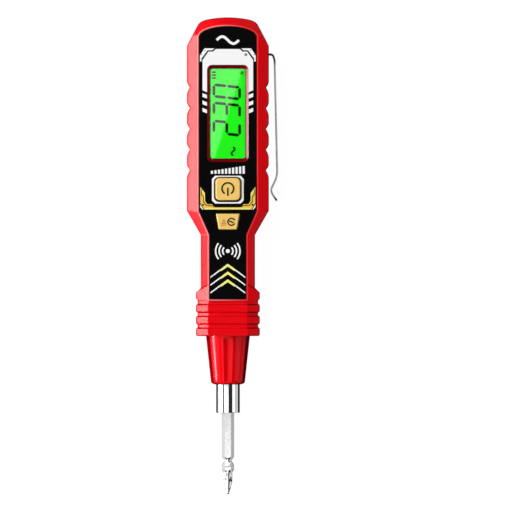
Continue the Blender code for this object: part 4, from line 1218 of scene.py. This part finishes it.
def make_neck_prints():
    """Field-sensing arcs and three chevrons that point to the display."""
    arcs = [circle((0.0, -17.8), 0.75)]
    for k, radius in enumerate((1.9, 3.2, 4.5)):
        spread = 44 - 2 * k
        arcs.append(ribbon(arc_path((0.0, -17.8), radius, -spread, spread), 0.55))
        arcs.append(ribbon(arc_path((0.0, -17.8), radius, 180 - spread, 180 + spread), 0.55))
    print_piece("print_field_arcs", arcs, "white")
    bold, fine = [], []
    for k in range(3):
        top = -22.45 - 2.87 * k
        slope = 4.8 / 6.5
        reach = 2.87
        end = top - slope * reach
        left = [(-reach, end), (-reach + 0.15, end - 0.68), (-reach + 0.75, end - 0.4)]
        bold.append([(0.0, top), *left, (0.0, top - 1.06), *flipped(left)])
        arm = [(reach + 0.02, end), (reach + 0.02, end - 0.62), (6.45, top - 5.3), (6.45, top - 4.8)]
        fine += [arm, flipped(arm)]
    print_piece("print_chevrons", bold, "pale_gold")
    print_piece("print_chevron_arms", fine, "white")


DIGIT_SLANT = 0.11
SEGMENTS = {"0": "abcdef", "2": "abged", "3": "abgcd"}


def digit_bars(character, origin, width, height, stroke):
    """Seven-segment bars of a digit that reads towards +Y, its top towards -X."""
    gap = stroke * 0.16
    mid = height / 2
    ends = {
        "a": ((0, height), (width, height)), "d": ((0, 0), (width, 0)), "g": ((0, mid), (width, mid)),
        "b": ((width, mid), (width, height)), "c": ((width, 0), (width, mid)),
        "e": ((0, 0), (0, mid)), "f": ((0, mid), (0, height)),
    }
    bars = []
    for name in SEGMENTS[character]:
        start, end = (Vector(p) for p in ends[name])
        along = (end - start).normalized()
        across = Vector((-along.y, along.x)) * stroke / 2
        a, b = start + along * gap, end - along * gap
        inner_a, inner_b = a + along * stroke / 2, b - along * stroke / 2
        hexagon_points = [a, inner_a - across, inner_b - across, b, inner_b + across, inner_a + across]
        bars.append([(origin[0] - p.y, origin[1] + p.x + DIGIT_SLANT * p.y) for p in hexagon_points])
    return bars


def make_display_content():
    """Digits, a wave sign and small marks on the panel, under the lens."""
    z = PANEL_TOP_Z + 0.02
    bars = []
    for k, character in enumerate("230"):
        bars += digit_bars(character, (4.35, 25.0 + 6.7 * k), 4.3, 9.5, 1.0)
    print_piece("display_digits", bars, "segment", z=z, slot="lcd_green")
    centre = (1.95, 19.1)
    wave = turned_left(ribbon(wave_path(centre, 3.1, 1.2), 0.62), centre)
    bolt = [(4.3, 48.9), (6.1, 48.3), (5.2, 48.0), (6.0, 47.3), (4.2, 47.9), (5.1, 48.2)]
    cells = []
    for k in range(3):
        y = 45.9 + 1.05 * k
        cells.append([(-5.9, y), (-4.4, y), (-4.4, y + 0.62), (-5.9, y + 0.62)])
    print_piece("display_marks", [wave, bolt, *cells], "segment", z=z, slot="lcd_green")
    # Black print under the lens rim: partly a print mask, partly painted shade for the dark gap round the
    # raised lens.
    inside, around = display_outline(WINDOW, 0.9, -0.25), display_outline(WINDOW, 1.4, 1.2)
    print_piece("lens_border", [around], "ink_black", z=LENS_Z[0] - 0.1, slot="foam", holes=[inside])


def make_lens():
    flange, raised = display_outline(WINDOW, 1.5, 1.5), display_outline(WINDOW, 0.9, -GAP)
    top = offset_outline(raised, -0.12)
    low, high = LENS_Z
    lens = stepped_prism("lens_window", [
        (flange, low), (flange, low + 0.5), (raised, low + 0.51), (raised, high - 0.12), (top, high),
    ])
    finish_piece(lens, "lens", "case", ("display_lens",), sharp=30)


# Keys ----------------------------------------------------------------------------------------------


def make_key(name, node, body, outline_at, centre):
    """A key cap with a rounded rim, a faintly dished top, a flange under the case wall and a stem."""
    flange_high = CEILING_Z - GAP
    flange, side = outline_at(KEY_FLANGE), outline_at(0.0)
    levels = [
        (flange, flange_high - 0.8), (flange, flange_high),
        (side, flange_high + 0.01), (side, KEY_TOP_Z - KEY_EASE),
    ]
    for k in range(1, 6):
        turn = math.pi / 2 * k / 5
        shrunk = outline_at(KEY_EASE * (math.cos(turn) - 1))
        levels.append((shrunk, KEY_TOP_Z - KEY_EASE * (1 - math.sin(turn))))
    levels.append((outline_at(-1.1), KEY_TOP_Z - 0.05))
    cap = stepped_prism(name, levels)
    carve(cap, joins=[post(f"{name}_stem", centre, 1.4, KEY_LOW_Z, flange_high - 0.5)])
    return finish_piece(cap, "key", body, (node,), sharp=35)


def make_keys():
    power = (0.0, POWER_Y)
    make_key("power_key", "power_button", "power_key", power_outline, power)
    middle = (0.0, (MODE_Y[0] + MODE_Y[1]) / 2)
    make_key("mode_key", "mode_button", "mode_key", mode_outline, middle)
    z = KEY_MARK_Z
    ring = ribbon(arc_path((0.0, 5.25), 2.15, -58, 238, 40), 0.6)
    stem = ribbon([(0.0, 5.6), (0.0, 2.6)], 0.6)
    print_piece("power_mark", [ring, stem], "key_mark", "power_key", z, "tan_key")
    lamp = [(-2.35, -7.75), (-0.65, -7.75), (-1.5, -5.9)]
    lamp_hole = [(-1.95, -7.5), (-1.05, -7.5), (-1.5, -6.5)]
    base = [(-2.45, -8.35), (-0.55, -8.35), (-0.55, -8.08), (-2.45, -8.08)]
    print_piece("mode_mark_lamp", [lamp, base], "key_mark_amber", "mode_key", z, "tan_key", [lamp_hole])
    ring = ribbon(arc_path((1.3, -7.0), 1.3, 25, 335, 36), 0.48)
    wave = ribbon(wave_path((1.3, -7.0), 1.6, 0.5, 20), 0.46)
    print_piece("mode_mark", [ring, wave], "key_mark", "mode_key", z, "tan_key")


# Back of the pen -----------------------------------------------------------------------------------


def make_door():
    low, high = DOOR_Y
    door = box("door_panel", (-DOOR_HALF, DOOR_HALF), (low, high), (GAP, 1.6))
    ribs, grips = [], []
    for k in range(4):
        rib_y, grip_y = low + 1.4 + 14.7 * k, 46.0 + 1.4 * k
        ribs.append(box(f"door_rib_{k}", (-9.8, 9.8), (rib_y, rib_y + 0.8), (1.4, 1.75)))
        grips.append(box(f"door_grip_{k}", (-5.0, 5.0), (grip_y, grip_y + 0.7), (-0.1, 0.6)))
    hole = post("door_hole", (0.0, DOOR_SCREW_Y), SCREW_HOLE_RADIUS, -1.0, 3.0)
    well = post("door_sink", (0.0, DOOR_SCREW_Y), SCREW_WELL_RADIUS, -1.0, 1.1)
    carve(door, cuts=[hole, well, *grips], joins=ribs)
    finish_piece(door, "case", "door", ("battery_door",), sharp=35, bevel=0.1)


def make_screw(name, node, body, centre, z_head, z_end):
    """A pan-headed screw that points to +Z, with a cross recess in its head."""
    x, y = centre
    low, high = z_head
    profile = [
        (1.3, low), (1.6, low + 0.05), (1.82, low + 0.2), (1.9, low + 0.4), (1.9, high), (1.0, high + 0.01),
        (1.0, z_end - 0.7), (0.35, z_end),
    ]
    screw = stepped_prism(name, [(circle(centre, radius, 40), z) for radius, z in profile])
    slots = [box(f"{name}_slot_{k}", (x - sx, x + sx), (y - sy, y + sy), (low - 0.5, low + 0.5))
             for k, (sx, sy) in enumerate(((0.22, 1.15), (1.15, 0.22)))]
    carve(screw, cuts=slots)
    finish_piece(screw, "zinc", body, (node,), sharp=35)


def make_screws():
    for name, centre in SCREWS.items():
        low, high = span(name, 2)
        make_screw(f"{name}_fine", name, "case", centre, (low, 1.6), high)
    low, high = span("battery_door_screw", 2)
    make_screw("door_screw_fine", "battery_door_screw", "door", (0.0, DOOR_SCREW_Y), (low, 0.8), high)


def make_cells():
    """AAA cells with a rolled sleeve edge, a flat end and the positive button."""
    for node, direction in (("battery_1", -1.0), ("battery_2", 1.0)):
        low, high = span(node, 1)
        x = sum(span(node, 0)) / 2
        start = low if direction > 0 else high
        length, radius = high - low, CELL_RADIUS
        along = [(radius - 0.9, 0.0), (radius - 0.75, 0.12), (radius - 0.3, 0.12), (radius, 0.4),
                 (radius, length - 1.3), (radius - 0.3, length - 1.0), (radius - 0.7, length - 1.05),
                 (1.9, length - 0.9), (1.9, length - 0.15), (1.7, length)]
        profile = [(r, start + direction * y) for r, y in along]
        cell = turned(f"{node}_fine", profile, centre=(x, CELL_Z), segments=64)
        finish_piece(cell, "cell", "case", (node,), sharp=35)


# Stage ---------------------------------------------------------------------------------------------


def make_floor():
    """A plain pale floor, faintly lit from below as a light table is, so that shadows stay soft."""
    half = 6000.0
    steps = 12
    points, faces = [], []
    for j in range(steps + 1):
        for i in range(steps + 1):
            points.append((half * (2 * i / steps - 1), half * (2 * j / steps - 1), -0.06))
    for j in range(steps):
        for i in range(steps):
            a = j * (steps + 1) + i
            faces.append((a, a + 1, a + steps + 2, a + steps + 1))
    floor = new_mesh("floor", points, faces)
    look = Look("floor_white", Specular_IOR_Level=0.1, Emission_Strength=0.96)
    look.feed("Base Color", look.mix(look.noise(6.0), (0.07, 0.07, 0.07), (0.08, 0.08, 0.08)))
    look.feed("Roughness", look.between(look.noise(20.0), 0.7, 0.8))
    look.shader.inputs["Emission Color"].default_value = (1.0, 1.0, 1.0, 1.0)
    floor.data.materials.append(look.material)


def area_light(name, place, aim, size, radiance, turn=0.0):
    """A rectangular soft light in metres, given by its radiance, that faces aim."""
    data = bpy.data.lights.new(name, "AREA")
    data.shape = "RECTANGLE"
    data.size, data.size_y = size
    data.energy = radiance * math.pi * size[0] * size[1]
    lamp = bpy.data.objects.new(name, data)
    bpy.context.scene.collection.objects.link(lamp)
    lamp.location = place
    lamp.rotation_euler = (Vector(aim) - Vector(place)).to_track_quat("-Z", "Y").to_euler()
    lamp.rotation_euler.rotate_axis("Z", turn)
    lamp.visible_camera = False


def make_lights():
    """Overhead panels left of the lens, a bright strip low on the left and softer fill round the sides."""
    edge = math.atan(0.31)
    along = Vector((math.sin(edge), math.cos(edge)))
    across = Vector((math.cos(edge), -math.sin(edge)))
    corner = Vector((0.0018, 0.075)) - along * 0.068
    size = (0.8, 1.1)
    centre = corner + along * size[1] / 2 - across * size[0] / 2
    area_light("overhead_left", (*centre, 1.0), (*centre, 0.0), size, 1.76, -edge)
    area_light("overhead_low", (-0.33, -0.59, 1.0), (-0.33, -0.59, 0.0), (0.86, 1.0), 1.72)
    area_light("strip_left", (-1.0, 0.0, 0.11), (0.0, 0.0, 0.02), (0.9, 0.2), 42.0)
    area_light("side_left", (-0.9, 0.0, 0.47), (0.0, 0.0, 0.02), (1.8, 0.5), 1.4)
    area_light("side_right", (1.0, 0.0, 0.56), (0.0, 0.0, 0.02), (1.1, 0.72), 1.35)
    area_light("tail", (0.0, 1.1, 0.9), (0.0, 0.0, 0.0), (1.6, 0.6), 1.2)


def make_world():
    world = bpy.data.worlds.new("studio")
    world.use_nodes = True
    world.node_tree.nodes["Background"].inputs["Color"].default_value = (1.0, 1.0, 1.0, 1.0)
    world.node_tree.nodes["Background"].inputs["Strength"].default_value = 0.03
    bpy.context.scene.world = world


def make_camera():
    """Straight above the pen, far away behind a long lens; the pen stands left of the middle."""
    field = 193.1 * MM
    distance = 2.5
    focus_z = 0.017
    data = bpy.data.cameras.new("camera")
    data.sensor_width = 36.0
    data.lens = data.sensor_width * (distance - focus_z) / field
    data.clip_end = 50.0
    camera = bpy.data.objects.new("camera", data)
    bpy.context.scene.collection.objects.link(camera)
    camera.location = (12.25 * MM, -21.46 * MM, distance)
    bpy.context.scene.camera = camera


def dress_cad_nodes():
    for look, nodes in CAD_LOOKS.items():
        for node in nodes:
            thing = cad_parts[node]
            thing.data.materials.clear()
            thing.data.materials.append(MATERIALS[look])


def main():
    make_camera()
    make_world()
    make_lights()
    make_floor()
    dress_cad_nodes()
    make_front_case()
    make_rear_case()
    make_collar()
    make_nose()
    make_socket()
    make_bit()
    make_clip()
    make_label()
    make_display_frame_prints()
    make_head_mark()
    make_power_prints()
    make_neck_prints()
    make_display_content()
    make_lens()
    make_keys()
    make_door()
    make_screws()
    make_cells()
    bpy.context.scene.view_settings.view_transform = "Standard"


main()
